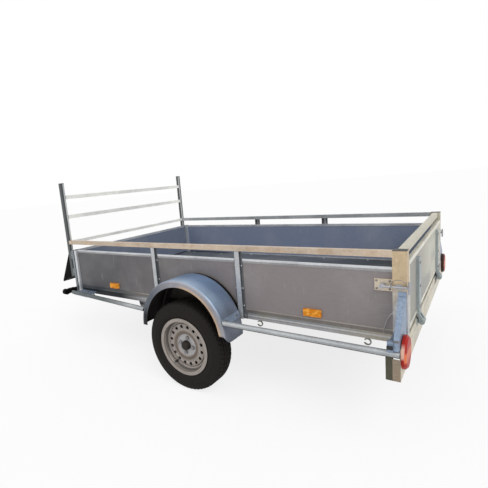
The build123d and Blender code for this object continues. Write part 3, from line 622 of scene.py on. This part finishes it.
# cream tone: painted sunlight on the tailgate's edging
zinc("gate_zinc", (0.80, 0.78, 0.68), (0.70, 0.62, 0.46), 0.4, (0.28, 0.42))
zinc("strap_zinc", (0.37, 0.42, 0.43))
zinc("guard_zinc", (0.19, 0.21, 0.26), rough=(0.34, 0.50), contrast=0.08, zones=[
    # painted sky reflection on the crown
    (guard_crown_reflection, (0.23, 0.34, 0.53)),
    # painted highlight beside the outer shoulder
    (guard_brow_highlight, (0.36, 0.47, 0.62)),
    (guard_face, (0.33, 0.33, 0.36)),
    # painted warm reflection on the lip
    (guard_warm_reflection, (0.60, 0.42, 0.27)),
    (guard_shade, (0.115, 0.13, 0.155)),
    (guard_nose, (0.010, 0.011, 0.014)),
    # painted shade on the arch's inner faces
    (guard_inside_shade, (0.030, 0.024, 0.022)),
])
zinc("blue_zinc", (0.30, 0.38, 0.50), contrast=0.24)
# very dark olive: painted shade on the lamp board's hangers
zinc("hanger_shade_zinc", (0.075, 0.07, 0.045), metallic=0.3)
zinc("latch_zinc", (0.84, 0.66, 0.40), (0.66, 0.46, 0.26), rough=(0.26, 0.40), spangle=260.0,
     zones=[(latch_rod, (0.42, 0.43, 0.46))])
zinc("nut_zinc", (0.24, 0.23, 0.23), rough=(0.30, 0.45), spangle=300.0, contrast=0.08)
zinc("bright_zinc", (0.70, 0.72, 0.74), rough=(0.22, 0.36), spangle=300.0, contrast=0.08)
film_plywood("panel_film", (0.19, 0.23, 0.33), zones=[
    (outer_side, (0.225, 0.20, 0.20)),
    # painted shade on the outer faces, deeper towards the front
    (outer_front_shade, (0.080, 0.077, 0.083)),
    (arch_shade, (0.016, 0.012, 0.007)),
])
film_plywood("front_film", (0.16, 0.19, 0.26))
# cream tone: painted sunlight on the tailgate's film
film_plywood("gate_film", (0.52, 0.51, 0.43), 0.45, zones=[
    (gate_left, (0.30, 0.29, 0.255)),
    (streaks, (0.28, 0.28, 0.27)),
])
film_plywood("floor_film", (0.075, 0.085, 0.105), 0.6, zones=[
    (floor_rear, (0.030, 0.038, 0.042)),
])
moulded("black_plastic", (0.012, 0.012, 0.013), 0.5)
moulded("deep_black", (0.0025, 0.0025, 0.003), 0.62, depth=0.0002, gloss=0.05)
moulded("black_rubber", (0.02, 0.02, 0.022), 0.7)
moulded("tyre_rubber", (0.0105, 0.0085, 0.0072), 0.75, 350.0, gloss=0.2)
moulded("wheel_paint", (0.34, 0.30, 0.27), 0.42, 700.0, 0.3, zones=[
    # the ring from 74 to 94 mm is rust with painted shade; the ring from 149 to 160 mm is painted shade
    # between the rim's flange and its inner slope
    (wheel_band(0.074, 0.094, 0.004), (0.16, 0.125, 0.10)),
    (wheel_band(0.149, 0.160, 0.002), (0.13, 0.115, 0.10)),
    (wheel_band(0.0, 0.072), (0.43, 0.42, 0.42)),
])
moulded("hub_iron", (0.014, 0.009, 0.006), 0.6, 500.0, 0.3)
moulded("axle_paint", (0.030, 0.028, 0.030), 0.5, 500.0)
lens("red_lens", (0.40, 0.020, 0.014), zones=[
    # painted reflection at the barrel's foot
    (lamp_foot_reflection, (0.80, 0.50, 0.40)),
    # painted highlight on the barrel
    (lamp_highlight, (0.74, 0.20, 0.09)),
    (lamp_inner, (0.045, 0.022, 0.018)),
])
# painted glints on the amber lenses
lens("amber_lens", (0.66, 0.22, 0.012), zones=[(marker_glints, (0.90, 0.40, 0.06))])

FINISHES = {
    "beam_zinc": ["side_beams", "floor_bearers", "front_cross_beam", "tie_hooks"],
    "tube_zinc": ["side_tubes"],
    "cream_zinc": ["rear_cross_beam", "lamp_board"],
    "post_zinc": ["rear_posts", "rear_crossbar"],
    "front_zinc": ["front_posts", "headboard_plates"],
    "rail_zinc": ["top_rails"],
    "head_zinc": ["headboard"],
    "edge_zinc": ["side_edging", "front_edging"],
    "hat_zinc": ["uprights"],
    "gate_zinc": ["tailgate_edging"],
    "strap_zinc": ["tailgate_straps", "hinge_brackets"],
    "guard_zinc": ["mudguard_left", "mudguard_right"],
    "blue_zinc": ["corner_struts", "mudguard_stays", "tube_brackets", "cross_arms"],
    "hanger_shade_zinc": ["board_hangers"],
    "latch_zinc": ["latches"],
    "panel_film": ["side_panel_left", "side_panel_right"],
    "front_film": ["front_panel"],
    "gate_film": ["tailgate_panel"],
    "floor_film": ["floor"],
    "black_plastic": ["post_caps", "arm_plugs", "coupling_handle"],
    "deep_black": ["wheel_chocks", "chock_holders", "position_lamps"],
    "black_rubber": ["jockey_wheel"],
    "tyre_rubber": ["tyre_left", "tyre_right"],
    "wheel_paint": ["rim_left", "rim_right"],
    "hub_iron": ["hub_left", "hub_right"],
    "axle_paint": ["axle_tube", "axle_hangers", "swing_arms"],
    "red_lens": ["tail_lamps"],
    "amber_lens": ["side_markers"],
}


def dress_nodes():
    """Gives each CAD node its material; those not in FINISHES are frame_zinc."""
    finish_of = {node: finish for finish, members in FINISHES.items() for node in members}
    for name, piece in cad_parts.items():
        material = MATERIALS[finish_of.get(name, "frame_zinc")]
        for place in piece.material_slots:
            place.material = material


def add_piece(name, mesh_data, finish, body, sharp=32.0):
    """Turns a bmesh into an object that rides on a body."""
    bmesh.ops.recalc_face_normals(mesh_data, faces=mesh_data.faces)
    mesh = bpy.data.meshes.new(name)
    mesh_data.to_mesh(mesh)
    mesh_data.free()
    mesh.shade_smooth()
    mesh.set_sharp_from_angle(angle=math.radians(sharp))
    mesh.materials.append(MATERIALS[finish])
    piece = bpy.data.objects.new(name, mesh)
    bpy.context.scene.collection.objects.link(piece)
    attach(piece, body)
    return piece


def join_loops(mesh_data, below, above):
    """The band of faces between two closed loops with as many points."""
    for step in range(len(below)):
        after = (step + 1) % len(below)
        mesh_data.faces.new((below[step], below[after], above[after], above[step]))


def join_round(mesh_data, loops):
    """The bands between loops that stand in a ring."""
    for step, loop in enumerate(loops):
        join_loops(mesh_data, loop, loops[(step + 1) % len(loops)])


def circle(mesh_data, centre, radius, first, second, count, turn=0.0):
    """A loop of points in the plane of two directions."""
    loop = []
    for step in range(count):
        angle = turn + math.tau * step / count
        spoke = first * math.cos(angle) + second * math.sin(angle)
        loop.append(mesh_data.verts.new(centre + spoke * radius))
    return loop


def stacked(mesh_data, rings, place, axis, turn=0.0):
    """Joins rings of (points round, radius, height) along an axis; the last ring is closed.

    A ring whose count differs from the one below starts a new step on top of it.
    """
    axis = Vector(axis).normalized()
    side = axis.orthogonal().normalized()
    if abs(axis.y) > 0.9:
        side = Vector((1, 0, 0))
    other = axis.cross(side)
    place = Vector(place)
    below = None
    for count, radius, height in rings:
        loop = circle(mesh_data, place + axis * height, radius, side, other, count, turn)
        if below and len(below) == count:
            join_loops(mesh_data, below, loop)
        elif below:
            mesh_data.faces.new(below)
        below = loop
    mesh_data.faces.new(below)


WIRE_SIDES = 8                   # points round a wire or a weld bead


def rod(mesh_data, rings):
    """A round rod with closed ends, through rings of (place, radius, direction, direction)."""
    below = None
    for place, radius, first, second in rings:
        loop = circle(mesh_data, place, radius, first, second, WIRE_SIDES)
        if below:
            join_loops(mesh_data, below, loop)
        else:
            mesh_data.faces.new(loop)
        below = loop
    mesh_data.faces.new(below)


def wheel_point(mesh_data, side, radius, offset, angle):
    """A point about a wheel's axle; side is 1 for the left wheel and -1 for the right."""
    return mesh_data.verts.new((
        AXLE[0] + radius * math.cos(angle),
        side * AXLE[1] + side * offset,
        AXLE[2] + radius * math.sin(angle),
    ))


def lathe(mesh_data, outline, side, steps):
    """Spins (radius, offset) points about a wheel's axle."""
    loops = []
    for step in range(steps):
        angle = math.tau * step / steps
        loops.append([wheel_point(mesh_data, side, *point, angle) for point in outline])
    join_round(mesh_data, loops)


ROUND = 20                       # points round a washer
WASHER = 0.0016                  # its thickness, in metres
SUNK = -0.0004                   # how far it reaches into the face under it


def add_bolt(mesh_data, place, axis, across, height, turn):
    """A washer with a bevelled hex head on it, sizes in metres."""
    outer = across * 0.92
    washer = [(ROUND, outer, SUNK), (ROUND, outer, WASHER * 0.7), (ROUND, outer - 0.0005, WASHER)]
    corner = across / math.sqrt(3)
    shoulder, top = WASHER + height * 0.8, WASHER + height
    head = [(6, corner, WASHER), (6, corner, shoulder), (6, corner * 0.86, top)]
    stacked(mesh_data, washer, place, axis)
    stacked(mesh_data, head, place, axis, turn)


def mirrored(points):
    """Each (place, axis) and its mirror image across the middle plane."""
    pairs = []
    for place, axis in points:
        pairs.append((place, axis))
        pairs.append(((place[0], -place[1], place[2]), (axis[0], -axis[1], axis[2])))
    return pairs


def bolts(name, points, across, height, finish="nut_zinc", body="chassis"):
    """Hex bolts at (place, axis) points and their mirror images; across is over the flats."""
    mesh_data = bmesh.new()
    for index, (place, axis) in enumerate(mirrored(points)):
        add_bolt(mesh_data, place, axis, across, height, 0.3 + 0.37 * index)
    add_piece(name, mesh_data, finish, body)


# ---- wheels ----
TREAD_PITCHES = 60
PITCH_STEPS = 8
TREAD_EDGE = 0.0335              # offset where the shoulder cuts begin
TREAD_RADIUS = 0.2805            # the tread's outer blocks lie beyond it
SHOULDER_RADIUS = 0.2735         # the shoulder cuts reach down to it
HALF_SKIN = [                    # (radius, offset) from the bead up to the shoulder
    (0.1665, 0.046), (0.176, 0.0520), (0.1865, 0.058), (0.193, 0.0620), (0.1975, 0.0655),
    (0.199, 0.0674), (0.2015, 0.0686), (0.205, 0.0690), (0.209, 0.0698), (0.2135, 0.0706),
    (0.218, 0.0714), (0.2195, 0.0726), (0.2245, 0.0729), (0.227, 0.0724), (0.2285, 0.0714),
    (0.232, 0.0708), (0.236, 0.0704), (0.241, 0.0697), (0.2465, 0.0688), (0.251, 0.0677),
    (0.256, 0.0662), (0.2615, 0.0646), (0.267, 0.0628), (0.271, 0.0602), (0.275, 0.0565),
    (0.278, 0.0530), (0.2796, 0.0485), (0.2806, 0.0445), (0.281, 0.0405), (0.281, 0.0370),
    (0.281, 0.0335), (0.281, 0.0305),
]
MIDDLE_SKIN = [                  # from the outer groove to the middle groove
    (0.281, 0.029), (0.2741, 0.0275), (0.2741, 0.0225), (0.281, 0.0210), (0.281, 0.0168),
    (0.281, 0.0125), (0.281, 0.0082), (0.281, 0.0040), (0.2741, 0.0025),
]
BEAD_SKIN = [(0.1588, -0.046), (0.1588, 0.046)]
SIDE_RIBS = (0.230, 0.2455)      # radii between which the sidewall has fine radial ribs
RIB_DEPTH = 0.0007
CUT_DEPTH = 0.0045               # of the shoulder cuts, two steps wide
CUT_SLANT = 0.006                # offset over which a cut moves on by one step
SIPES = (0.005, 0.020)           # offsets between which the tread's blocks have narrow slits
SIPE_DEPTH = 0.0035
SIPE_SLANT = 0.0045


def tread_depth(radius, offset, step):
    """How far a point of the tyre's skin lies below the smooth outline."""
    size = abs(offset)
    if radius > SHOULDER_RADIUS and size > TREAD_EDGE:
        slant = int((size - TREAD_EDGE) / CUT_SLANT)
        cut = (step + slant) % PITCH_STEPS in (0, 1)
        return CUT_DEPTH if cut and radius > SHOULDER_RADIUS + 0.001 else 0.0
    if radius > TREAD_RADIUS and SIPES[0] < size < SIPES[1]:
        slant = int(offset / SIPE_SLANT)
        return SIPE_DEPTH if (step + slant) % PITCH_STEPS == 4 else 0.0
    if SIDE_RIBS[0] < radius < SIDE_RIBS[1]:
        return RIB_DEPTH if step % 2 else 0.0
    return 0.0


def add_tyre(side, name, node, body):
    """A treaded tyre that stands for the CAD's smooth one."""
    half = HALF_SKIN + MIDDLE_SKIN
    skin = half + [(radius, -offset) for radius, offset in reversed(half)] + BEAD_SKIN
    steps = TREAD_PITCHES * PITCH_STEPS
    mesh_data = bmesh.new()
    loops = []
    for step in range(steps):
        angle = math.tau * step / steps
        loop = []
        for radius, offset in skin:
            low = tread_depth(radius, offset, step)
            if radius > SIDE_RIBS[1]:
                radius -= low
            else:
                offset -= math.copysign(low, offset)
            loop.append(wheel_point(mesh_data, side, radius, offset, angle))
        loops.append(loop)
    join_round(mesh_data, loops)
    piece = add_piece(name, mesh_data, "tyre_rubber", body, 28.0)
    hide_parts(node)


DISC_FACE = AXLE[1] + 0.024      # outer face of the wheel disc's middle
STUDS = 4
STUD_CIRCLE = 0.050              # radii, in metres
FIRST_STUD = 12                  # degrees from straight ahead, upwards
NUT_SEAT = [(24, 0.0135, -0.0003), (24, 0.0125, 0.0022), (24, 0.0112, 0.0028)]
NUT = [(6, 0.0110, 0.0028), (6, 0.0110, 0.0112), (6, 0.0094, 0.0128)]
VALVE_FACE = AXLE[1] + 0.036
VALVE_CIRCLE = 0.1475
VALVE_ANGLE = 306                # degrees, as above
VALVE_LEAN = 0.26                # towards the axle, per unit of length
VALVE = [
    (18, 0.0076, -0.006), (18, 0.0078, 0.002), (18, 0.0058, 0.005), (18, 0.0042, 0.009),
    (18, 0.0042, 0.014), (18, 0.0050, 0.0145), (18, 0.0050, 0.021), (18, 0.0040, 0.023),
]
FINS = (-0.031, -0.019, -0.007)  # offsets of the brake drum's fins
FIN_SIDE = [                     # (radius, offset from the fin's middle)
    (0.1125, -0.0028), (0.1335, -0.0022), (0.1355, -0.0010),
    (0.1355, 0.0010), (0.1335, 0.0022), (0.1125, 0.0028),
]
FIN_STEPS = 96


def add_nuts(side, name, body):
    """Wheel nuts on their conical seats, each turned differently."""
    nuts = bmesh.new()
    for index in range(STUDS):
        angle = math.radians(360 / STUDS * index + FIRST_STUD)
        ahead, up = STUD_CIRCLE * math.cos(angle), STUD_CIRCLE * math.sin(angle)
        place = (AXLE[0] + ahead, side * DISC_FACE, AXLE[2] + up)
        stacked(nuts, NUT_SEAT, place, (0, side, 0))
        stacked(nuts, NUT, place, (0, side, 0), 0.2 + index)
    add_piece(name, nuts, "nut_zinc", body)


def add_valve(side, name, body):
    """A rubber valve with its cap, leaning towards the axle."""
    angle = math.radians(VALVE_ANGLE)
    ahead, up = math.cos(angle), math.sin(angle)
    place = (AXLE[0] + VALVE_CIRCLE * ahead, side * VALVE_FACE, AXLE[2] + VALVE_CIRCLE * up)
    valve = bmesh.new()
    stacked(valve, VALVE, place, (-VALVE_LEAN * ahead, side, -VALVE_LEAN * up))
    add_piece(name, valve, "black_rubber", body)


def add_drum_fins(side, name, body):
    """Cooling fins round the brake drum."""
    outline = [(0.1115, -0.0365)]
    outline += [(radius, middle + offset) for middle in FINS for radius, offset in FIN_SIDE]
    outline += [(0.1115, -0.0020)]
    fins = bmesh.new()
    lathe(fins, outline, side, FIN_STEPS)
    add_piece(name, fins, "hub_iron", body)


# ---- trim on the frame and the tailgate ----
OUT = (0, 1, 0)
UP = (0, 0, 1)
DOWN = (0, 0, -1)
BACK = (-1, 0, 0)
HAT_HALF = 0.039                 # half the length of an upright
HAT_MIDDLES = (HATS[0][0] + HAT_HALF, HATS[1][0] - HAT_HALF)
FLANGE_FACE = 0.747              # faces that bolts sit on and that no box gives, in metres
LATCH_PLATE_FACE = 0.748
COUPLING_FACE = 0.039
GUSSET_TOP = 0.4747
FLOOR_TOP = 0.508
HANGER_FLANGE = 0.449
GUARD_STRAP = 0.0033             # thickness of sheet and strap
STRAP_BOLT_HEIGHT = 0.490
SCREW_PITCH = 0.37               # between the floor's screws
DOME_SIDES = 18


def domes(name, points, radius, height, finish="nut_zinc", body="chassis"):
    """Rivet or screw heads at (place, axis) points and at their mirror images."""
    outline = [
        (radius, -0.0003), (radius * 0.94, height * 0.5),
        (radius * 0.62, height * 0.9), (radius * 0.2, height),
    ]
    head = [(DOME_SIDES, *ring) for ring in outline]
    mesh_data = bmesh.new()
    for place, axis in mirrored(points):
        stacked(mesh_data, head, place, axis)
    add_piece(name, mesh_data, finish, body, sharp=50.0)


def add_upright_bolts():
    feet = [
        ((middle + offset, FLANGE_FACE, 0.474), OUT)
        for middle in HAT_MIDDLES for offset in (-0.0265, 0.0265)
    ]
    bolts("upright_foot_bolts", feet, 0.010, 0.0045)
    rivets = [
        ((middle + offset, FLANGE_FACE, z), OUT)
        for middle in HAT_MIDDLES for offset in (-0.0215, 0.0215) for z in (0.535, 0.640, 0.775)
    ]
    domes("upright_rivets", rivets, 0.0042, 0.0022, "bright_zinc")


def add_guard_bolts():
    """Bolts of the straps that hold the mudguards, low on both ends of each arch."""
    level = math.asin((STRAP_BOLT_HEIGHT - GUARD_AXIS[2]) / GUARD_RADIUS)
    reach = GUARD_RADIUS + GUARD_STRAP
    points = []
    for way in (-1, 1):
        axis = (way * math.cos(level), 0, math.sin(level))
        x, z = GUARD_AXIS[0] + axis[0] * reach, GUARD_AXIS[2] + axis[2] * reach
        points += [((x, y, z), axis) for y in (0.800, 0.915)]
    bolts("guard_strap_bolts", points, 0.010, 0.0045)


def add_frame_bolts():
    add_upright_bolts()
    plate = [((REAR + x, LATCH_PLATE_FACE, z), OUT) for x in (0.073, 0.129) for z in (0.712, 0.750)]
    domes("latch_plate_bolts", plate, 0.0055, 0.0035)
    foot_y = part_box("corner_struts")[1][1]
    feet = [((REAR + x, foot_y, 0.550), OUT) for x in (0.0085, 0.0190)]
    bolts("strut_foot_bolts", feet, 0.006, 0.004)
    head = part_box("headboard_plates")
    middle = (head[0][0] + head[1][0]) / 2
    plates = [((middle, 0.760, z), OUT) for z in (0.610, 0.640, 0.757, 0.787)]
    bolts("headboard_bolts", plates, 0.008, 0.004)
    add_guard_bolts()
    front = FRONT_POSTS[1][0]
    gussets = [((front - x, 0.785, GUSSET_TOP), UP) for x in (0.095, 0.185)]
    bolts("gusset_bolts", gussets, 0.013, 0.006)
    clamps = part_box("drawbar_clamps")
    places = (clamps[0][0] + 0.02, clamps[1][0] - 0.02)
    clamp_bolts = [((x, 0.0675, clamps[1][2] - 0.005), DOWN) for x in places]
    bolts("drawbar_clamp_bolts", clamp_bolts, 0.017, 0.009, "bright_zinc")
    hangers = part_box("axle_hangers")
    places = (hangers[0][0] + 0.022, hangers[1][0] - 0.022)
    hanger_bolts = [((x, 0.723, HANGER_FLANGE), DOWN) for x in places]
    bolts("axle_bolts", hanger_bolts, 0.017, 0.009, "bright_zinc")
    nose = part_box("coupling_head")[1][0]
    coupling = [((nose - x, COUPLING_FACE, 0.420), OUT) for x in (0.227, 0.173)]
    bolts("coupling_bolts", coupling, 0.017, 0.008, "bright_zinc")
    screws = [
        ((REAR + 0.14 + SCREW_PITCH * index, y, FLOOR_TOP), UP)
        for y in (0.700, 0.240) for index in range(7)
    ]
    domes("floor_screws", screws, 0.0065, 0.0028, "bright_zinc")


def add_gate_bolts():
    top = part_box("tailgate_straps")[1][2]
    points = [((REAR - 0.012, 0.450, z), BACK) for z in (0.545, 0.655, top - 0.025)]
    domes("hinge_strap_bolts", points, 0.0085, 0.0042, body="tailgate")


def smooth_line(points, steps):
    """Points along a Catmull-Rom curve through the given ones."""
    padded = [points[0] * 2 - points[1]] + points + [points[-1] * 2 - points[-2]]
    line = []
    for index in range(1, len(padded) - 2):
        before, start, end, after = padded[index - 1:index + 3]
        for step in range(steps):
            t = step / steps
            line.append(0.5 * (
                start * 2 + (end - before) * t + (before * 2 - start * 5 + end * 4 - after) * t ** 2
                + (start * 3 - before - end * 3 + after) * t ** 3
            ))
    line.append(points[-1])
    return line


WIRE_STEPS = 6                   # between two given points


def add_wire(name, points, radius, finish):
    """A stiff bent wire through points measured from the rear, and its mirror image."""
    mesh_data = bmesh.new()
    for side in (1, -1):
        line = smooth_line([Vector((REAR + x, side * y, z)) for x, y, z in points], WIRE_STEPS)
        rings = []
        for index, place in enumerate(line):
            ahead = line[min(index + 1, len(line) - 1)] - line[max(index - 1, 0)]
            across = ahead.cross(Vector((0, 1, 0))).normalized()
            rings.append((place, radius, across, ahead.cross(across).normalized()))
        rod(mesh_data, rings)
    add_piece(name, mesh_data, finish, "chassis", sharp=60.0)


def add_wires():
    add_wire("latch_springs", [
        (0.064, 0.7785, 0.733), (0.058, 0.784, 0.752), (0.046, 0.785, 0.764), (0.030, 0.785, 0.768),
        (0.014, 0.785, 0.764), (0.002, 0.784, 0.752), (-0.004, 0.7785, 0.735),
    ], 0.0015, "nut_zinc")
    add_wire("panel_stay_wires", [
        (0.0600, 0.7520, 0.603), (0.0690, 0.7515, 0.594), (0.0860, 0.7500, 0.565),
        (0.0975, 0.7490, 0.527), (0.1020, 0.7465, 0.492),
    ], 0.0012, "bright_zinc")


BOOT_SIDES = 28
BOOT_RIBS = 6
BOOT_PITCH = 0.0095
RIB_HEIGHT = 0.0018


def add_lamp_boots():
    """Ribbed rubber boots round the arms of the position lamps."""
    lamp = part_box("position_lamps")
    foot_y = FRONT_POSTS[1][1] + 0.006
    middle = (lamp[0][2] + lamp[1][2]) / 2
    outline = [(0.0190, 0.0)]
    for index in range(BOOT_RIBS):
        start = 0.003 + BOOT_PITCH * index
        valley = 0.0195 + 0.0004 * index
        crest = valley + RIB_HEIGHT
        outline += [(valley, start), (crest, start + 0.002)]
        outline += [(crest, start + 0.006), (valley, start + 0.008)]
    outline += [(0.0205, 0.0605)]
    rings = [(BOOT_SIDES, *ring) for ring in outline]
    mesh_data = bmesh.new()
    for side in (1, -1):
        stacked(mesh_data, rings, (lamp[0][0] + 0.0235, side * foot_y, middle), (0.08, side, 0.0))
    add_piece("position_lamp_boots", mesh_data, "deep_black", "chassis")


BEAD_RADIUS = 0.0021
BEAD_STEP = 0.0012


def add_bead(mesh_data, start, end):
    """A scalloped weld bead from start to end, thin at both ends."""
    axis = (end - start).normalized()
    first = axis.orthogonal().normalized()
    second = axis.cross(first)
    count = max(6, round((end - start).length / BEAD_STEP))
    rings = []
    for index in range(count + 1):
        radius = BEAD_RADIUS * (0.82 + 0.18 * abs(math.sin(index * 1.3)))
        if index in (0, count):
            radius *= 0.4
        rings.append((start.lerp(end, index / count), radius, first, second))
    rod(mesh_data, rings)


def add_welds():
    """Weld beads where tubes meet posts, legs and rails."""
    lines = []
    rear, front = HEADBOARD[0][0], HEADBOARD[1][0]
    leg = HEADBOARD[1][1] - 0.030
    for level, tall in ((1.254, 0.030), (1.091, 0.030), (0.878, 0.025)):
        low, high = level - tall / 2, level + tall / 2
        for x in (rear - 0.0004, front + 0.0004):
            lines.append(((x, leg, low), (x, leg, high)))
        lines.append(((rear, leg, high), (front, leg, high)))
    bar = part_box("rear_crossbar")
    for x in (bar[0][0], bar[1][0]):
        lines.append(((x, bar[1][1], bar[0][2]), (x, bar[1][1], bar[1][2])))
    for middle in HAT_MIDDLES:
        lines.append(((middle - 0.015, *HATS[1][1:]), (middle + 0.015, *HATS[1][1:])))
    mesh_data = bmesh.new()
    for ends in lines:
        for side in (1, -1):
            add_bead(mesh_data, *(Vector((x, side * y, z)) for x, y, z in ends))
    add_piece("weld_beads", mesh_data, "frame_zinc", "chassis", sharp=60.0)


def add_fittings():
    for side, word in ((1, "left"), (-1, "right")):
        add_tyre(side, "treaded_tyre_" + word, "tyre_" + word, "wheel_" + word)
        for add, kind in ((add_nuts, "_nuts"), (add_valve, "_valve"), (add_drum_fins, "_drum_fins")):
            add(side, "wheel_fittings_" + word + kind, "wheel_" + word)
    add_frame_bolts()
    add_gate_bolts()
    add_wires()
    add_welds()
    add_lamp_boots()


# ---- floor, light and world ----
def seen_white(tree, plain, surface, share, kinds):
    """Blends plain white over the plain shader, by share, for the given kinds of ray."""
    path = tree.nodes.new("ShaderNodeLightPath")
    in_world = surface.node.type == "OUTPUT_WORLD"
    white = tree.nodes.new("ShaderNodeBackground" if in_world else "ShaderNodeEmission")
    white.inputs["Color"].default_value = WHITE
    white.inputs["Strength"].default_value = 1.0
    total = fold(tree, "MAXIMUM", [path.outputs[kind] for kind in kinds])
    blend = tree.nodes.new("ShaderNodeMixShader")
    tree.links.new(spread(tree, total, 0.0, 1.0, 0.0, share), blend.inputs["Fac"])
    tree.links.new(plain, blend.inputs[1])
    tree.links.new(white.outputs[0], blend.inputs[2])
    tree.links.new(blend.outputs[0], surface)


WORLD_LEVEL = 0.55
FLOOR_REACH = 60.0
FLOOR_LEVEL = -0.001             # just below the tyres
FLOOR_WHITE_SHARE = 0.80         # the rest of the floor's brightness is lit, and keeps the shadow


def add_world():
    world = bpy.data.worlds.new("studio")
    bpy.context.scene.world = world
    world.use_nodes = True
    tree = world.node_tree
    back = tree.nodes["Background"]
    back.inputs["Color"].default_value = WHITE
    back.inputs["Strength"].default_value = WORLD_LEVEL
    surface = tree.nodes["World Output"].inputs["Surface"]
    kinds = ["Is Camera Ray", "Is Glossy Ray", "Is Transmission Ray"]
    seen_white(tree, back.outputs[0], surface, 1.0, kinds)


def add_floor():
    mesh = bpy.data.meshes.new("floor_stage")
    signs = [(-1, -1), (1, -1), (1, 1), (-1, 1)]
    corners = [(x * FLOOR_REACH, y * FLOOR_REACH, FLOOR_LEVEL) for x, y in signs]
    mesh.from_pydata(corners, [], [(0, 1, 2, 3)])
    floor = bpy.data.objects.new("floor_stage", mesh)
    bpy.context.scene.collection.objects.link(floor)
    tree, shader, where = new_material("floor_stage")
    tone = ramp(tree, noise(tree, where, 1.5), [(0.3, grey(0.93)), (0.7, grey(0.96))])
    tree.links.new(tone, shader.inputs["Base Color"])
    shader.inputs["Roughness"].default_value = 0.9
    shader.inputs["Specular IOR Level"].default_value = 0.0
    surface = tree.nodes["Material Output"].inputs["Surface"]
    seen_white(tree, shader.outputs[0], surface, FLOOR_WHITE_SHARE, ["Is Camera Ray"])
    mesh.materials.append(MATERIALS["floor_stage"])


def add_sun(name, direction, strength, softness):
    """A soft sun shining along a direction; softness is its width in degrees."""
    data = bpy.data.lights.new(name, "SUN")
    data.energy = strength
    data.angle = math.radians(softness)
    light = bpy.data.objects.new(name, data)
    light.rotation_mode = "QUATERNION"
    light.rotation_quaternion = Vector(direction).to_track_quat("-Z", "Y")
    bpy.context.scene.collection.objects.link(light)


def add_studio():
    add_world()
    add_floor()
    add_sun("key", (1.0, -0.55, -1.15), 1.35, 35.0)
    add_sun("fill", (-0.6, -1.0, -0.9), 0.55, 60.0)


add_camera()
dress_nodes()
add_fittings()
add_studio()
bpy.context.scene.view_settings.view_transform = "Standard"
